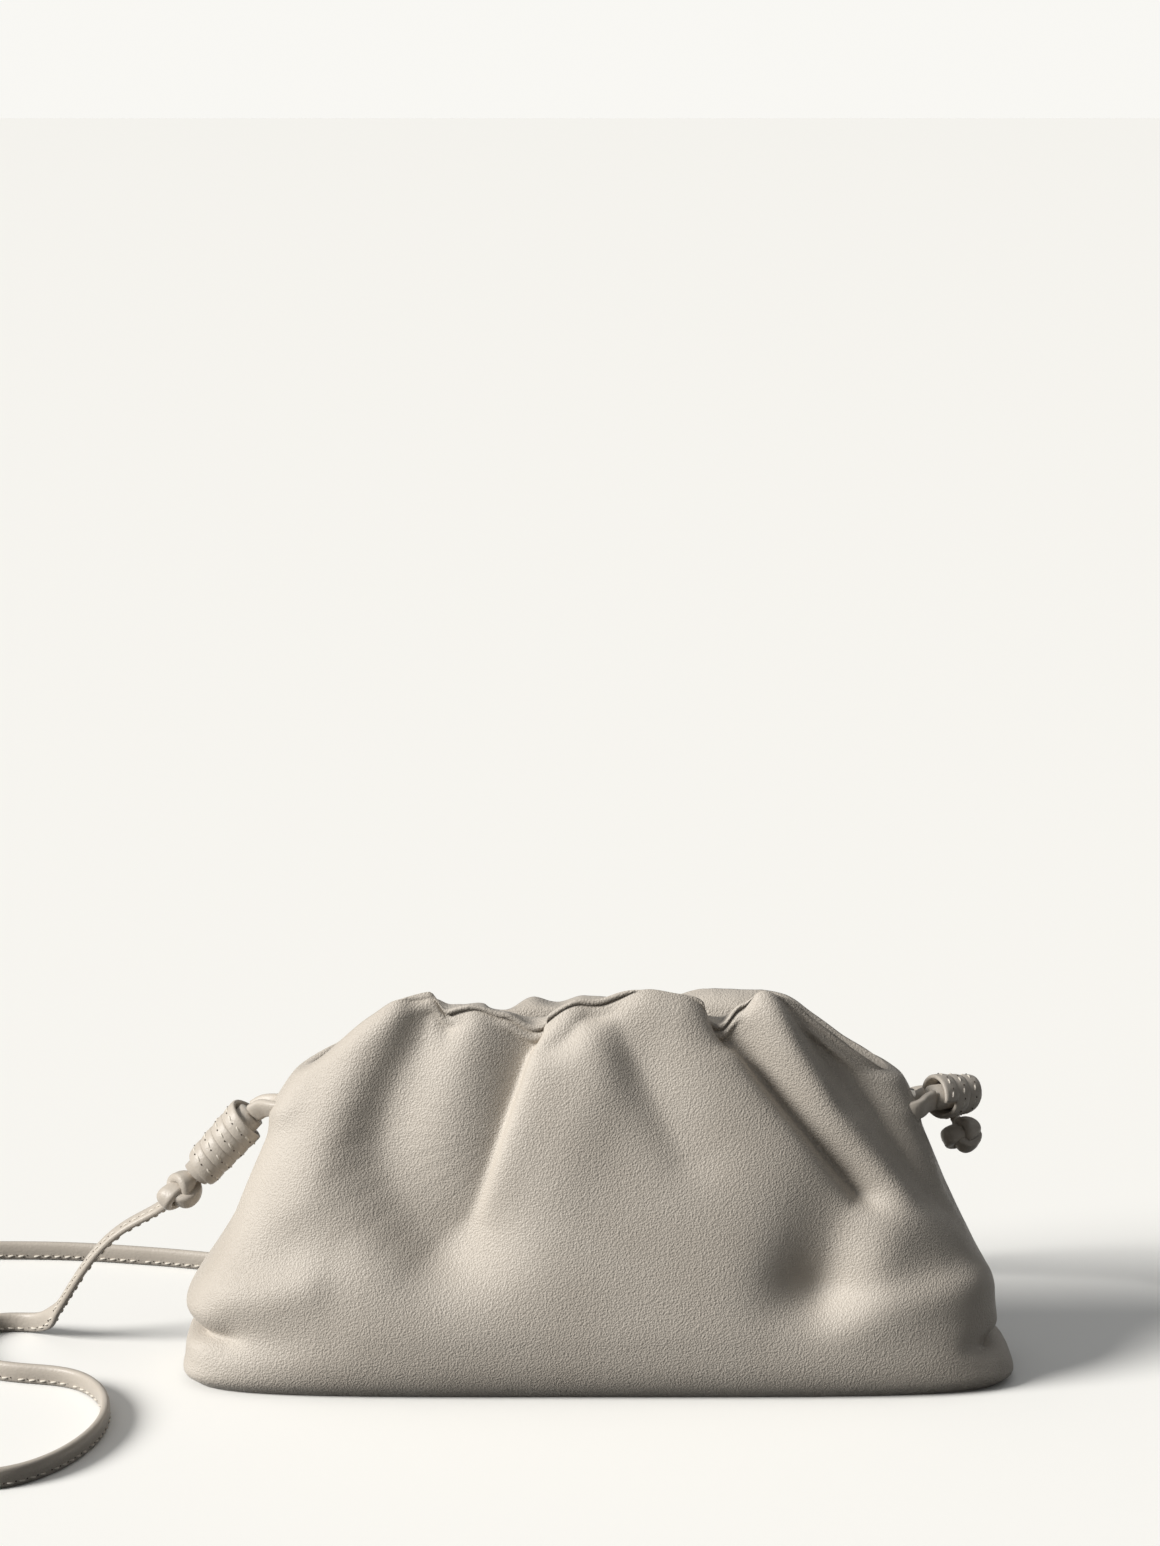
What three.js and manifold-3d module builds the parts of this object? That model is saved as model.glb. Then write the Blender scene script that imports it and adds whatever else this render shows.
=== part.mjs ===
// Cloud pouch bag: a soft leather body gathered onto a hidden frame, with a knotted shoulder strap.
// Millimetres. +X is the right of the front, +Y the back, +Z up.
// The origin lies on the ground, under the middle of the bag.

import * as THREE from 'three';
import { mergeVertices } from 'three/addons/utils/BufferGeometryUtils.js';
import Module from 'manifold-3d';

const wasm = await Module();
wasm.setup();

// Driving dimensions of the body
const WIDTH = 230;          // over the two bottom corners
const HEIGHT = 110;         // top of the gathers, at the middle
const END_HEIGHT = 87;      // top of the gathers, at the two ends
const DEPTH = 62;           // front to back, at the fullest level
const WALL = 2.2;           // leather and its backing
const MOUTH = 7;            // gap between the two rolled lips
const LIP_DROP = 10.5;      // how far the lips turn down inside the gathers
const FOLD = 10;            // depth of the deepest gather
const TOP_FOLD = 2.5;       // how far a gather still moves in, seen at the top
const NOTCH_DROP = 1.2;     // how far the deepest notch between two gathers lowers the top
const TOP_RISE = 10;        // unit of the top line's heights over the smooth top
const FOLD_ROOM = 0.7;      // left between a gather and what is behind it
const GAP = 0.3;            // clearance between pieces that touch
const TURN_GAP = 0.75;      // clearance where one piece bends closely round another
const LIP_GAP = 1.0;        // from a lip down to the hidden bar

// Driving dimensions of the frame and its two end rings
const BAR_RADIUS = 1.5;     // hidden bar under the lips
const RING_HEIGHT = 75;     // end rings above the ground
const RING_BAR = 2;         // square bar of an end ring
const RING_OPENING = 5;     // from the frame to the outer bar
const RING_SEAT = 1.2;      // from the skin of the bag in to the middle of the outer bar
const RING_CORNER = 1;      // outer corners of a ring
const OPENING_CORNER = 0.5; // inner corners of a ring
const HOLE_CORNER = 2;      // corners of the hole in an end of the body
const HOLE_REACH = 23;      // from the inner side of that hole to well outside the bag

// Driving dimensions of the strap
const STRAP_WIDTH = 5.6;
const STRAP_THICKNESS = 2.8;
const STRAP_PLAY = 0.5;     // room above and below the strap in a ring
const LEG_GAP = 0.8;        // between the two legs of its doubled end
const GROUND_GAP = 0.05;    // under the edge that it stands on
const TWIST_LOW = 1;        // how far over its place on the ground the strap starts to twist
const TWIST_HIGH = 9;       // and how far over it the twist ends
const TURN_PITCH = 4.8;     // from turn to turn of a winding
const TURN_GROOVE = 0.5;    // depth of the line between two turns
const TURN_EDGE = 0.25;     // share of a turn that rounds down to that line
const KNOT_RADIUS = 5.4;

// Facets
const QUARTER_COLUMNS = 22;
const BODY_RINGS = 16;
const WINDING_SIDES = 14;
const STRAP_SIDES = 8;
const LOOP_STEPS = 18;
const LEG_POINTS = 3;
const STRAP_STEPS = 80;
const KNOT_SIDES = 14;
const KNOT_RINGS = 10;
const BAR_SIDES = 6;
const HOLE_CORNER_STEPS = 3;
const RING_CORNER_STEPS = 2;
const FOLD_STEPS = 10;      // straight steps that a fold's line is measured in
const SPACING_STEPS = 4000; // fine steps that the columns are spaced with
const WELD = 1e-4;          // vertices closer than this are one

// Sections of the body, from the ground up. "up" is the height as a share of the local top, and runs
// on past 1 where the leather rolls down inside. Widths and depths are shares of half the size,
// drop is a share of LIP_DROP, and square is how boxy the section is.
const SECTIONS = [
  { up: 0.0, width: 0.972, depth: 0.8, drop: 0, square: 4.6 },
  { up: 0.03, width: 1.003, depth: 0.9, drop: 0, square: 4.4 },
  { up: 0.08, width: 1.0, depth: 0.97, drop: 0, square: 4.0 },
  { up: 0.15, width: 0.994, depth: 1.0, drop: 0, square: 3.6 },
  { up: 0.2, width: 0.986, depth: 1.0, drop: 0, square: 3.4 },
  { up: 0.3, width: 0.955, depth: 0.97, drop: 0, square: 3.1 },
  { up: 0.4, width: 0.917, depth: 0.92, drop: 0, square: 2.9 },
  { up: 0.5, width: 0.882, depth: 0.86, drop: 0, square: 2.8 },
  { up: 0.65, width: 0.838, depth: 0.765, drop: 0, square: 2.6 },
  { up: 0.8, width: 0.787, depth: 0.68, drop: 0, square: 2.5 },
  { up: 0.9, width: 0.744, depth: 0.61, drop: 0, square: 2.5 },
  { up: 0.96, width: 0.715, depth: 0.54, drop: 0, square: 2.5 },
  { up: 1.0, width: 0.69, depth: 0.42, drop: 0.02, square: 2.5 },
  { up: 1.035, width: 0.655, depth: 0.28, drop: 0.17, square: 2.5 },
  { up: 1.075, width: 0.633, depth: 0.17, drop: 0.52, square: 2.5 },
  { up: 1.12, width: 0.625, depth: null, drop: 1, square: 2.6 },
];
SECTIONS.at(-1).depth = MOUTH / DEPTH;

const BASE_UPS = [0, 0.012, 0.03];
const SIDE_UPS = { from: 0.055, to: 0.965 };
const ROLL_UPS = [1.0, 1.035, 1.075, 1.12];
const INNER_ROLL_UPS = [1.035, 1.075, 1.12];

// From where up the lips stand behind the gathers, the gathers flatten out, and the notches start
const LIPS_BEHIND = { from: 0.66, to: 0.82 };
const FLATTEN = { from: 0.86, to: 0.99 };
const NOTCHES = { from: 0.84, to: 1.0 };
const LIMIT_POWER = 4;      // how sharply a gather stops at its limit

// Gathers, dents and soft ridges. A row runs from a first point by a bend to a last point. Its x is a
// share of half the width, its up is the share of the height that the sections use. The depths at
// both ends are shares of FOLD, negative for a ridge. Its two widths, to the left and to the right
// of the line, are shares of the height.
const FRONT_FOLDS = [
  { from: [-0.36, 1.1], bend: [-0.68, 0.67], to: [-0.38, 0.42], deep: [0.8, 0.75], wide: [0.11, 0.15] },
  { from: [-0.1, 1.1], bend: [-0.19, 0.8], to: [-0.31, 0.48], deep: [1.0, 0.2], wide: [0.105, 0.06] },
  { from: [0.02, 1.0], bend: [0.06, 0.9], to: [0.2, 0.62], deep: [0.4, 0.15], wide: [0.09, 0.1] },
  { from: [0.21, 1.1], bend: [0.31, 0.84], to: [0.56, 0.58], deep: [1.0, 0.6], wide: [0.055, 0.08] },
  { from: [0.6, 0.575], bend: [0.55, 0.45], to: [0.525, 0.3], deep: [0.2, 0.65], wide: [0.13, 0.09] },
  { from: [0.41, 1.1], bend: [0.5, 0.9], to: [0.79, 0.58], deep: [0.7, 0.25], wide: [0.07, 0.065] },
  { from: [0.57, 1.08], bend: [0.66, 0.84], to: [0.86, 0.55], deep: [0.35, 0.15], wide: [0.065, 0.06] },
  { from: [0.53, 0.28], bend: [0.66, 0.32], to: [0.82, 0.37], deep: [0.25, 0.15], wide: [0.07, 0.09] },
  { from: [-0.72, 0.41], bend: [-0.68, 0.4], to: [-0.64, 0.39], deep: [0.2, 0.2], wide: [0.08, 0.08] },
  { from: [-0.7, 0.3], bend: [-0.78, 0.28], to: [-0.86, 0.28], deep: [-0.15, -0.15], wide: [0.07, 0.07] },
  { from: [-0.45, 1.02], bend: [-0.59, 0.81], to: [-0.71, 0.54], deep: [-0.25, -0.1], wide: [0.1, 0.07] },
  { from: [0.41, 1.0], bend: [0.52, 0.78], to: [0.66, 0.57], deep: [-0.2, -0.25], wide: [0.06, 0.06] },
  { from: [0.66, 0.57], bend: [0.67, 0.47], to: [0.64, 0.38], deep: [-0.1, -0.2], wide: [0.07, 0.07] },
  { from: [0.48, 0.2], bend: [0.66, 0.235], to: [0.95, 0.34], deep: [-0.1, -0.25], wide: [0.07, 0.06] },
  { from: [-0.89, 0.52], bend: [-0.94, 0.4], to: [-0.985, 0.26], deep: [-0.03, -0.32], wide: [0.09, 0.09] },
  { from: [1.0, 0.3], bend: [1.0, 0.24], to: [0.98, 0.17], deep: [0.15, 0.3], wide: [0.09, 0.09] },
  { from: [-1.02, 0.185], bend: [-0.97, 0.18], to: [-0.9, 0.16], deep: [0.8, 0.15], wide: [0.04, 0.04] },
  { from: [1.02, 0.145], bend: [0.97, 0.14], to: [0.9, 0.14], deep: [0.8, 0.15], wide: [0.04, 0.04] },
];
const BACK_FOLDS = [
  { from: [-0.5, 1.1], bend: [-0.58, 0.87], to: [-0.7, 0.55], deep: [0.8, 0.25], wide: [0.07, 0.07] },
  { from: [-0.23, 1.1], bend: [-0.3, 0.85], to: [-0.42, 0.5], deep: [0.95, 0.3], wide: [0.06, 0.09] },
  { from: [-0.08, 1.1], bend: [-0.06, 0.9], to: [-0.04, 0.66], deep: [0.7, 0.2], wide: [0.065, 0.065] },
  { from: [0.12, 1.1], bend: [0.17, 0.82], to: [0.28, 0.45], deep: [1.0, 0.35], wide: [0.09, 0.06] },
  { from: [0.33, 1.1], bend: [0.4, 0.86], to: [0.5, 0.6], deep: [0.8, 0.3], wide: [0.065, 0.075] },
  { from: [0.54, 1.08], bend: [0.62, 0.88], to: [0.76, 0.6], deep: [0.65, 0.25], wide: [0.055, 0.06] },
  { from: [-0.5, 0.3], bend: [-0.62, 0.33], to: [-0.76, 0.4], deep: [0.35, 0.25], wide: [0.09, 0.08] },
  { from: [0.4, 0.34], bend: [0.52, 0.3], to: [0.66, 0.34], deep: [0.35, 0.3], wide: [0.1, 0.09] },
  { from: [-0.89, 0.52], bend: [-0.94, 0.4], to: [-0.985, 0.26], deep: [-0.03, -0.32], wide: [0.09, 0.09] },
  { from: [1.0, 0.3], bend: [1.0, 0.24], to: [0.98, 0.17], deep: [0.15, 0.3], wide: [0.09, 0.09] },
  { from: [-1.02, 0.185], bend: [-0.97, 0.18], to: [-0.9, 0.16], deep: [0.8, 0.15], wide: [0.04, 0.04] },
  { from: [1.02, 0.145], bend: [0.97, 0.14], to: [0.9, 0.14], deep: [0.8, 0.15], wide: [0.04, 0.04] },
];

// Heights of the gathered top of the front and of the back over the smooth one, as shares of TOP_RISE.
// The x is a share of half the width.
const TOP_LINE = [
  { x: -0.7, front: 0, back: 0 },
  { x: -0.54, front: 0.1, back: -0.3 },
  { x: -0.43, front: 0.35, back: -0.45 },
  { x: -0.34, front: -0.25, back: -0.6 },
  { x: -0.25, front: -0.1, back: -0.55 },
  { x: -0.15, front: -0.55, back: -0.4 },
  { x: -0.03, front: 0, back: -0.45 },
  { x: 0.09, front: 0.25, back: -0.5 },
  { x: 0.21, front: 0, back: -0.4 },
  { x: 0.31, front: -0.6, back: -0.28 },
  { x: 0.38, front: -0.1, back: -0.25 },
  { x: 0.45, front: 0.25, back: -0.2 },
  { x: 0.56, front: 0, back: -0.3 },
  { x: 0.7, front: 0, back: 0 },
];
const END_BLEND = 0.13;     // share of the depth over which the two faces' folds meet at an end

// Where the arch of the top starts to fall towards the ends, and how sharply
const ARCH_START = 0.5;
const ARCH_POWER = 1.9;

// The two ends of the strap. A winding starts beside its end ring: out, back and up from there. It runs
// along "way", its radius goes from first to last, and its knot sits at a share of its length, on the
// side that "hangs" points to, under the turns (1) or at their end (0).
const LEFT_END = {
  side: -1, out: 10.4, back: 4.4, up: -3.2, way: [-0.67, 0, -0.74], turns: 5, first: 6.5, last: 5.6,
  knot: { share: 1, hangs: [-0.67, 0, -0.74], under: 0, size: [1, 0.93, 1] },
};
const RIGHT_END = {
  side: 1, out: 6.4, back: 5, up: 1, way: [0.78, 0.6, -0.07], turns: 3.4, first: 7, last: 5.2,
  knot: { share: 0.72, hangs: [0, 0, -1], under: 1, size: [0.86, 0.92, 1] },
};

// The middle of the strap on its way from the left knot to the right one. It stands on its edge
// where it lies on the ground.
const LYING = STRAP_WIDTH / 2 + GROUND_GAP;
const STRAP_ROUTE = [
  [-123, 9.5, 43.2],
  [-132.3, 12, 37.7],
  [-138.1, 13, 33.2],
  [-143.8, 14, 26.6],
  [-150.2, 17, 16.5],
  [-154.5, 20.5, 9.2],
  [-158.8, 25, 4.2],
  [-165.5, 29.5, LYING],
  [-175.5, 27.5, LYING],
  [-181.5, 16, LYING],
  [-179.5, 1.5, LYING],
  [-171, -9, LYING],
  [-160, -13.4, LYING],
  [-151.6, -15, LYING],
  [-144.3, -18.2, LYING],
  [-138.2, -25.4, LYING],
  [-133.8, -36.3, LYING],
  [-132.2, -50, LYING],
  [-134.5, -65, LYING],
  [-141.7, -81.1, LYING],
  [-152, -91, LYING],
  [-172, -94.5, LYING],
  [-212, -91, LYING],
  [-246, -77, LYING],
  [-268, -48, LYING],
  [-275, -8, LYING],
  [-270, 38, LYING],
  [-249, 74, LYING],
  [-212, 92.5, LYING],
  [-168.4, 95.5, LYING],
  [-136.2, 90.1, LYING],
  [-100, 80.5, LYING],
  [-60, 75.5, LYING],
  [-15, 76.5, LYING],
  [24, 81, LYING],
  [44, 82, 5.5],
  [57, 78, 16.5],
  [67.5, 71.5, 33],
  [79, 60.5, 53],
  [90.5, 46, 66],
  [98.5, 31, 69.2],
];

// The strap stands on its edge on the ground, and turns towards its flat side above these heights
const TWIST = { from: LYING + TWIST_LOW, to: LYING + TWIST_HIGH, share: 0.9 };

const UPWARD = new THREE.Vector3(0, 0, 1);
const BACKWARD = new THREE.Vector3(0, 1, 0);

// Reads one column of a table at any height, on a smooth curve through its rows
function between(rows, column, up) {
  const last = rows.length - 1;
  let row = 0;
  while (row < last - 1 && rows[row + 1].up < up) row += 1;
  const slope = (at) => {
    const before = rows[Math.max(at - 1, 0)];
    const after = rows[Math.min(at + 1, last)];
    return (after[column] - before[column]) / (after.up - before.up);
  };
  const span = rows[row + 1].up - rows[row].up;
  const t = (up - rows[row].up) / span;
  const rise = 3 * t * t - 2 * t * t * t;
  const leave = t * (1 - t) * (1 - t) * span * slope(row);
  const arrive = t * t * (t - 1) * span * slope(row + 1);
  return rows[row][column] * (1 - rise) + rows[row + 1][column] * rise + leave + arrive;
}

// Height of the gathered top, share is the place from the middle (0) to an end (1)
function topHeight(share) {
  const outer = Math.max(0, (Math.abs(share) - ARCH_START) / (1 - ARCH_START));
  return HEIGHT - (HEIGHT - END_HEIGHT) * outer ** ARCH_POWER;
}

// A point of the smooth form, before its folds: side is -1 at the front and 1 at the back
function formPoint(share, side, up) {
  const square = between(SECTIONS, 'square', up);
  const x = share * between(SECTIONS, 'width', up) * WIDTH / 2;
  const bow = Math.max(0, 1 - Math.abs(share) ** square) ** (1 / square);
  const y = side * bow * between(SECTIONS, 'depth', up) * DEPTH / 2;
  const drop = up > 1 ? between(SECTIONS, 'drop', up) * LIP_DROP : 0;
  return new THREE.Vector3(x, y, Math.min(up, 1) * topHeight(share) - drop);
}

// Distance to a fold's line, how far along it the nearest point lies, and on which side (1 is left)
function nearFold(fold, x, z) {
  let best = { distance: Infinity, along: 0, side: 0 };
  const at = (t) => {
    const a = (1 - t) * (1 - t);
    const b = 2 * t * (1 - t);
    const c = t * t;
    return [
      (a * fold.from[0] + b * fold.bend[0] + c * fold.to[0]) * WIDTH / 2,
      (a * fold.from[1] + b * fold.bend[1] + c * fold.to[1]) * HEIGHT,
    ];
  };
  let [fromX, fromZ] = at(0);
  for (let step = 1; step <= FOLD_STEPS; step += 1) {
    const [toX, toZ] = at(step / FOLD_STEPS);
    const wayX = toX - fromX;
    const wayZ = toZ - fromZ;
    const share = ((x - fromX) * wayX + (z - fromZ) * wayZ) / (wayX * wayX + wayZ * wayZ);
    const t = THREE.MathUtils.clamp(share, 0, 1);
    const offX = x - fromX - t * wayX;
    const offZ = z - fromZ - t * wayZ;
    const distance = Math.hypot(offX, offZ);
    if (distance < best.distance) {
      const side = (offX * wayZ - offZ * wayX) / Math.max(distance * Math.hypot(wayX, wayZ), WELD);
      best = { distance, along: (step - 1 + t) / FOLD_STEPS, side };
    }
    [fromX, fromZ] = [toX, toZ];
  }
  return best;
}

// How far the folds of one face move the leather out (or in, below zero) at x and up
function foldHeight(folds, x, up) {
  let height = 0;
  for (const fold of folds) {
    const near = nearFold(fold, x, up * HEIGHT);
    const left = THREE.MathUtils.smoothstep(near.side, -1, 1);
    const width = THREE.MathUtils.lerp(fold.wide[1], fold.wide[0], left) * HEIGHT;
    const deep = THREE.MathUtils.lerp(...fold.deep, near.along) * FOLD;
    height -= deep * Math.exp(-((near.distance / width) ** 2));
  }
  return height;
}

// How far the leather can move in before it meets the other face, or the roll behind it
function foldLimit(point, normal, roll, up) {
  const flat = normal.clone().setZ(0).normalize();
  const toRoll = point.clone().sub(roll).dot(flat) - 2 * WALL - FOLD_ROOM;
  const deep = Math.max(FOLD_ROOM, Math.abs(point.y) - WALL - FOLD_ROOM);
  const toMiddle = deep / Math.max(Math.abs(normal.y), WELD);
  const lips = THREE.MathUtils.smoothstep(up, LIPS_BEHIND.from, LIPS_BEHIND.to);
  const room = THREE.MathUtils.lerp(Math.min(toMiddle, 2 * FOLD), toRoll, lips);
  const top = THREE.MathUtils.smoothstep(up, FLATTEN.from, FLATTEN.to);
  return Math.max(FOLD_ROOM, Math.min(room, THREE.MathUtils.lerp(2 * FOLD, TOP_FOLD, top)));
}

// Folds of both faces at one level, blended where the faces meet at an end
function facesFold(point, side, up) {
  const front = foldHeight(FRONT_FOLDS, point.x, up);
  const back = foldHeight(BACK_FOLDS, point.x, up);
  const reach = THREE.MathUtils.smoothstep(Math.abs(point.y), 0, END_BLEND * DEPTH);
  return THREE.MathUtils.lerp((front + back) / 2, side < 0 ? front : back, reach);
}

// How far a fold moves the leather out, fading to the ground and to the lips
function foldOut(point, normal, roll, side, up) {
  const fade = THREE.MathUtils.smoothstep(up, 0, BASE_UPS[2])
    * (1 - THREE.MathUtils.smoothstep(up, ROLL_UPS[0], ROLL_UPS[3]));
  const height = facesFold(point, side, up);
  if (height > 0) return fade * height;
  const limit = foldLimit(point, normal, roll, up);
  return fade * height / (1 + (-height / limit) ** LIMIT_POWER) ** (1 / LIMIT_POWER);
}

// Height of the top line of the front or of the back, with its rows joined by soft steps
function topLine(face, x) {
  const share = THREE.MathUtils.clamp(x / (WIDTH / 2), TOP_LINE[0].x, TOP_LINE.at(-1).x);
  const row = Math.max(1, TOP_LINE.findIndex((entry) => entry.x >= share));
  const before = TOP_LINE[row - 1];
  const after = TOP_LINE[row];
  const t = THREE.MathUtils.smoothstep(share, before.x, after.x);
  return THREE.MathUtils.lerp(before[face], after[face], t) * TOP_RISE;
}

// How far the gathers raise or lower the roll, on its outside and its inside alike
function rollRise(point, side, up) {
  const rise = THREE.MathUtils.smoothstep(up, NOTCHES.from, NOTCHES.to)
    * (1 - THREE.MathUtils.smoothstep(up, ROLL_UPS[0], ROLL_UPS[3]));
  const reach = THREE.MathUtils.smoothstep(Math.abs(point.y), 0, END_BLEND * DEPTH);
  const front = topLine('front', point.x);
  const back = topLine('back', point.x);
  const line = THREE.MathUtils.lerp((front + back) / 2, side < 0 ? front : back, reach);
  const notch = Math.max(0, -facesFold(point, side, ROLL_UPS[0]) / FOLD);
  return rise * (line - NOTCH_DROP * notch);
}

// Places around a section, evenly spaced along the fullest one, starting at the right end
function columnPlaces() {
  const last = SPACING_STEPS;
  const { square } = SECTIONS[1];
  const points = [];
  for (let i = 0; i <= last; i += 1) {
    const angle = (i / last) * Math.PI / 2;
    const share = Math.cos(angle) ** (2 / square);
    const bow = Math.sin(angle) ** (2 / square);
    points.push({ share: i === last ? 0 : share, x: share * WIDTH, y: bow * DEPTH });
  }
  const lengths = [0];
  for (let i = 1; i <= last; i += 1) {
    const step = Math.hypot(points[i].x - points[i - 1].x, points[i].y - points[i - 1].y);
    lengths.push(lengths[i - 1] + step);
  }
  const quarter = [];
  for (let column = 0; column <= QUARTER_COLUMNS; column += 1) {
    const wanted = lengths[last] * (column / QUARTER_COLUMNS);
    const found = lengths.findIndex((length) => length >= wanted);
    quarter.push(points[found].share);
  }
  const places = [];
  for (let i = 0; i < QUARTER_COLUMNS; i += 1) places.push({ share: quarter[i], side: 1 });
  for (let i = QUARTER_COLUMNS; i > 0; i -= 1) places.push({ share: -quarter[i], side: 1 });
  for (let i = 0; i < QUARTER_COLUMNS; i += 1) places.push({ share: -quarter[i], side: -1 });
  for (let i = QUARTER_COLUMNS; i > 0; i -= 1) places.push({ share: quarter[i], side: -1 });
  return places;
}

// Heights of the sections, close together where the base and the lips turn
function sectionUps() {
  const ups = [...BASE_UPS];
  for (let i = 0; i < BODY_RINGS; i += 1) {
    ups.push(THREE.MathUtils.lerp(SIDE_UPS.from, SIDE_UPS.to, i / (BODY_RINGS - 1)));
  }
  return [...ups, ...ROLL_UPS];
}

// The direction that a fold moves the leather in: square to the smooth form
function formNormals(grid) {
  const rings = grid.length;
  const columns = grid[0].length;
  return grid.map((ring, j) => ring.map((point, i) => {
    const around = ring[(i + 1) % columns].clone().sub(ring[(i + columns - 1) % columns]);
    const flat = around.clone().cross(UPWARD).normalize();
    if (j === 0) return flat.sub(UPWARD);
    if (j === rings - 1) return flat.negate().setZ(0);
    const rise = grid[j + 1][i].clone().sub(grid[j - 1][i]);
    return around.cross(rise).normalize();
  }));
}

function solidFrom(geometry) {
  const bare = geometry.index ? geometry.toNonIndexed() : geometry.clone();
  bare.deleteAttribute('normal');
  bare.deleteAttribute('uv');
  const merged = mergeVertices(bare, WELD);
  return new wasm.Manifold(new wasm.Mesh({
    numProp: 3,
    vertProperties: Float32Array.from(merged.attributes.position.array),
    triVerts: Uint32Array.from(merged.index.array),
  }));
}

function geometryFrom(solid) {
  const mesh = solid.getMesh();
  const geometry = new THREE.BufferGeometry();
  geometry.setAttribute('position', new THREE.BufferAttribute(mesh.vertProperties, 3));
  geometry.setIndex(new THREE.BufferAttribute(mesh.triVerts, 1));
  geometry.computeVertexNormals();
  return geometry;
}

const places = columnPlaces();
const ups = sectionUps();
const form = ups.map((up) => places.map(({ share, side }) => formPoint(share, side, up)));
const normals = formNormals(form);

// The leather body: up the outside, over the lips, down the inside, closed by a flat base
function bodyGeometry() {
  const skin = (inward) => form.map((ring, j) => ring.map((point, i) => {
    const { side } = places[i];
    const out = foldOut(point, normals[j][i], form.at(-2)[i], side, ups[j]) - inward;
    const moved = point.clone().addScaledVector(normals[j][i], out);
    return moved.setZ(moved.z + rollRise(point, side, ups[j]));
  }));
  const outer = skin(0);
  const inner = skin(WALL);
  const kept = inner.filter((ring, j) => {
    if (ups[j] >= ROLL_UPS[0]) return INNER_ROLL_UPS.includes(ups[j]);
    return j === 0 || ups[j] > BASE_UPS.at(-1);
  });
  const rings = [...outer, ...kept.reverse()];
  const columns = places.length;
  const positions = rings.flat().flatMap((point) => point.toArray());
  const faces = [];
  const at = (ring, column) => ring * columns + (column + columns) % columns;
  for (let ring = 0; ring < rings.length - 1; ring += 1) {
    for (let i = 0; i < columns; i += 1) {
      faces.push(at(ring, i), at(ring, i + 1), at(ring + 1, i + 1));
      faces.push(at(ring, i), at(ring + 1, i + 1), at(ring + 1, i));
    }
  }
  const floors = [{ ring: 0, facesUp: false }, { ring: rings.length - 1, facesUp: true }];
  for (const { ring, facesUp } of floors) {
    for (let i = 0; i < columns / 2; i += 1) {
      const corners = [at(ring, -i - 1), at(ring, -i), at(ring, i), at(ring, i + 1)];
      if (!facesUp) corners.reverse();
      const [a, b, c, d] = corners;
      if (a !== b && b !== c && a !== c) faces.push(a, b, c);
      if (a !== c && c !== d && a !== d) faces.push(a, c, d);
    }
  }
  const geometry = new THREE.BufferGeometry();
  geometry.setAttribute('position', new THREE.Float32BufferAttribute(positions, 3));
  geometry.setIndex(faces);
  return geometry;
}

// The middle of the hidden bar, all round just under the lips
function barLine() {
  const lip = form.at(-1);
  const inward = normals.at(-1);
  return lip.map((point, i) => {
    const along = lip[(i + 1) % lip.length].clone().sub(lip.at(i - 1));
    const down = inward[i].clone().cross(along).normalize();
    return point.clone().addScaledVector(inward[i], -WALL / 2).addScaledVector(down, BAR_RADIUS + LIP_GAP);
  });
}

const BAR_LINE = barLine();
const FRAME_END = BAR_LINE[0];

// Where the skin of an end stands at the height of the rings
function endReach() {
  const up = RING_HEIGHT / topHeight(1);
  return formPoint(1, 1, up).x;
}

const RING_X = endReach() - RING_SEAT;                       // middle of a ring's outer bar
const BIGHT_RADIUS = RING_BAR * Math.SQRT1_2 + TURN_GAP + STRAP_THICKNESS / 2;
const RING_HALF_OPENING = STRAP_WIDTH / 2 + STRAP_PLAY;
const RING_HALF = RING_HALF_OPENING + RING_BAR;

function roundedOutline(left, right, bottom, top, radius) {
  const outline = new THREE.Shape();
  outline.moveTo(left + radius, bottom);
  outline.lineTo(right - radius, bottom);
  outline.quadraticCurveTo(right, bottom, right, bottom + radius);
  outline.lineTo(right, top - radius);
  outline.quadraticCurveTo(right, top, right - radius, top);
  outline.lineTo(left + radius, top);
  outline.quadraticCurveTo(left, top, left, top - radius);
  outline.lineTo(left, bottom + radius);
  outline.quadraticCurveTo(left, bottom, left + radius, bottom);
  return outline;
}

// The hole in each end of the body that lets the strap pass round the ring
function endHole(end) {
  const half = BIGHT_RADIUS + STRAP_THICKNESS / 2 + TURN_GAP;
  const tall = RING_HALF + GAP;
  const outline = roundedOutline(-half, half, -tall, tall, HOLE_CORNER);
  const hole = new THREE.ExtrudeGeometry(outline, {
    depth: HOLE_REACH, bevelEnabled: false, curveSegments: HOLE_CORNER_STEPS,
  });
  hole.rotateX(Math.PI / 2);
  hole.rotateZ(Math.PI / 2);
  const inside = RING_X - RING_BAR / 2 - RING_OPENING;
  hole.translate(end > 0 ? inside : -inside - HOLE_REACH, 0, RING_HEIGHT);
  return hole;
}

// The room round the inner side of a ring and its post, which the lips leave free
function postRoom(end) {
  const low = Math.min(RING_HEIGHT - RING_HALF, FRAME_END.z - RING_BAR / 2) - GAP;
  const high = Math.max(RING_HEIGHT + RING_HALF, FRAME_END.z + RING_BAR / 2) + GAP;
  const room = new THREE.BoxGeometry(RING_BAR + 2 * GAP, RING_BAR + 2 * GAP, high - low);
  const middle = RING_X - RING_BAR / 2 - RING_OPENING - RING_BAR / 2;
  room.translate(end * middle, 0, (low + high) / 2);
  return room;
}

function pouchBody() {
  const rooms = [1, -1].flatMap((end) => [endHole(end), postRoom(end)]);
  const leather = solidFrom(bodyGeometry());
  return geometryFrom(rooms.map(solidFrom).reduce((body, room) => body.subtract(room), leather));
}

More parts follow.
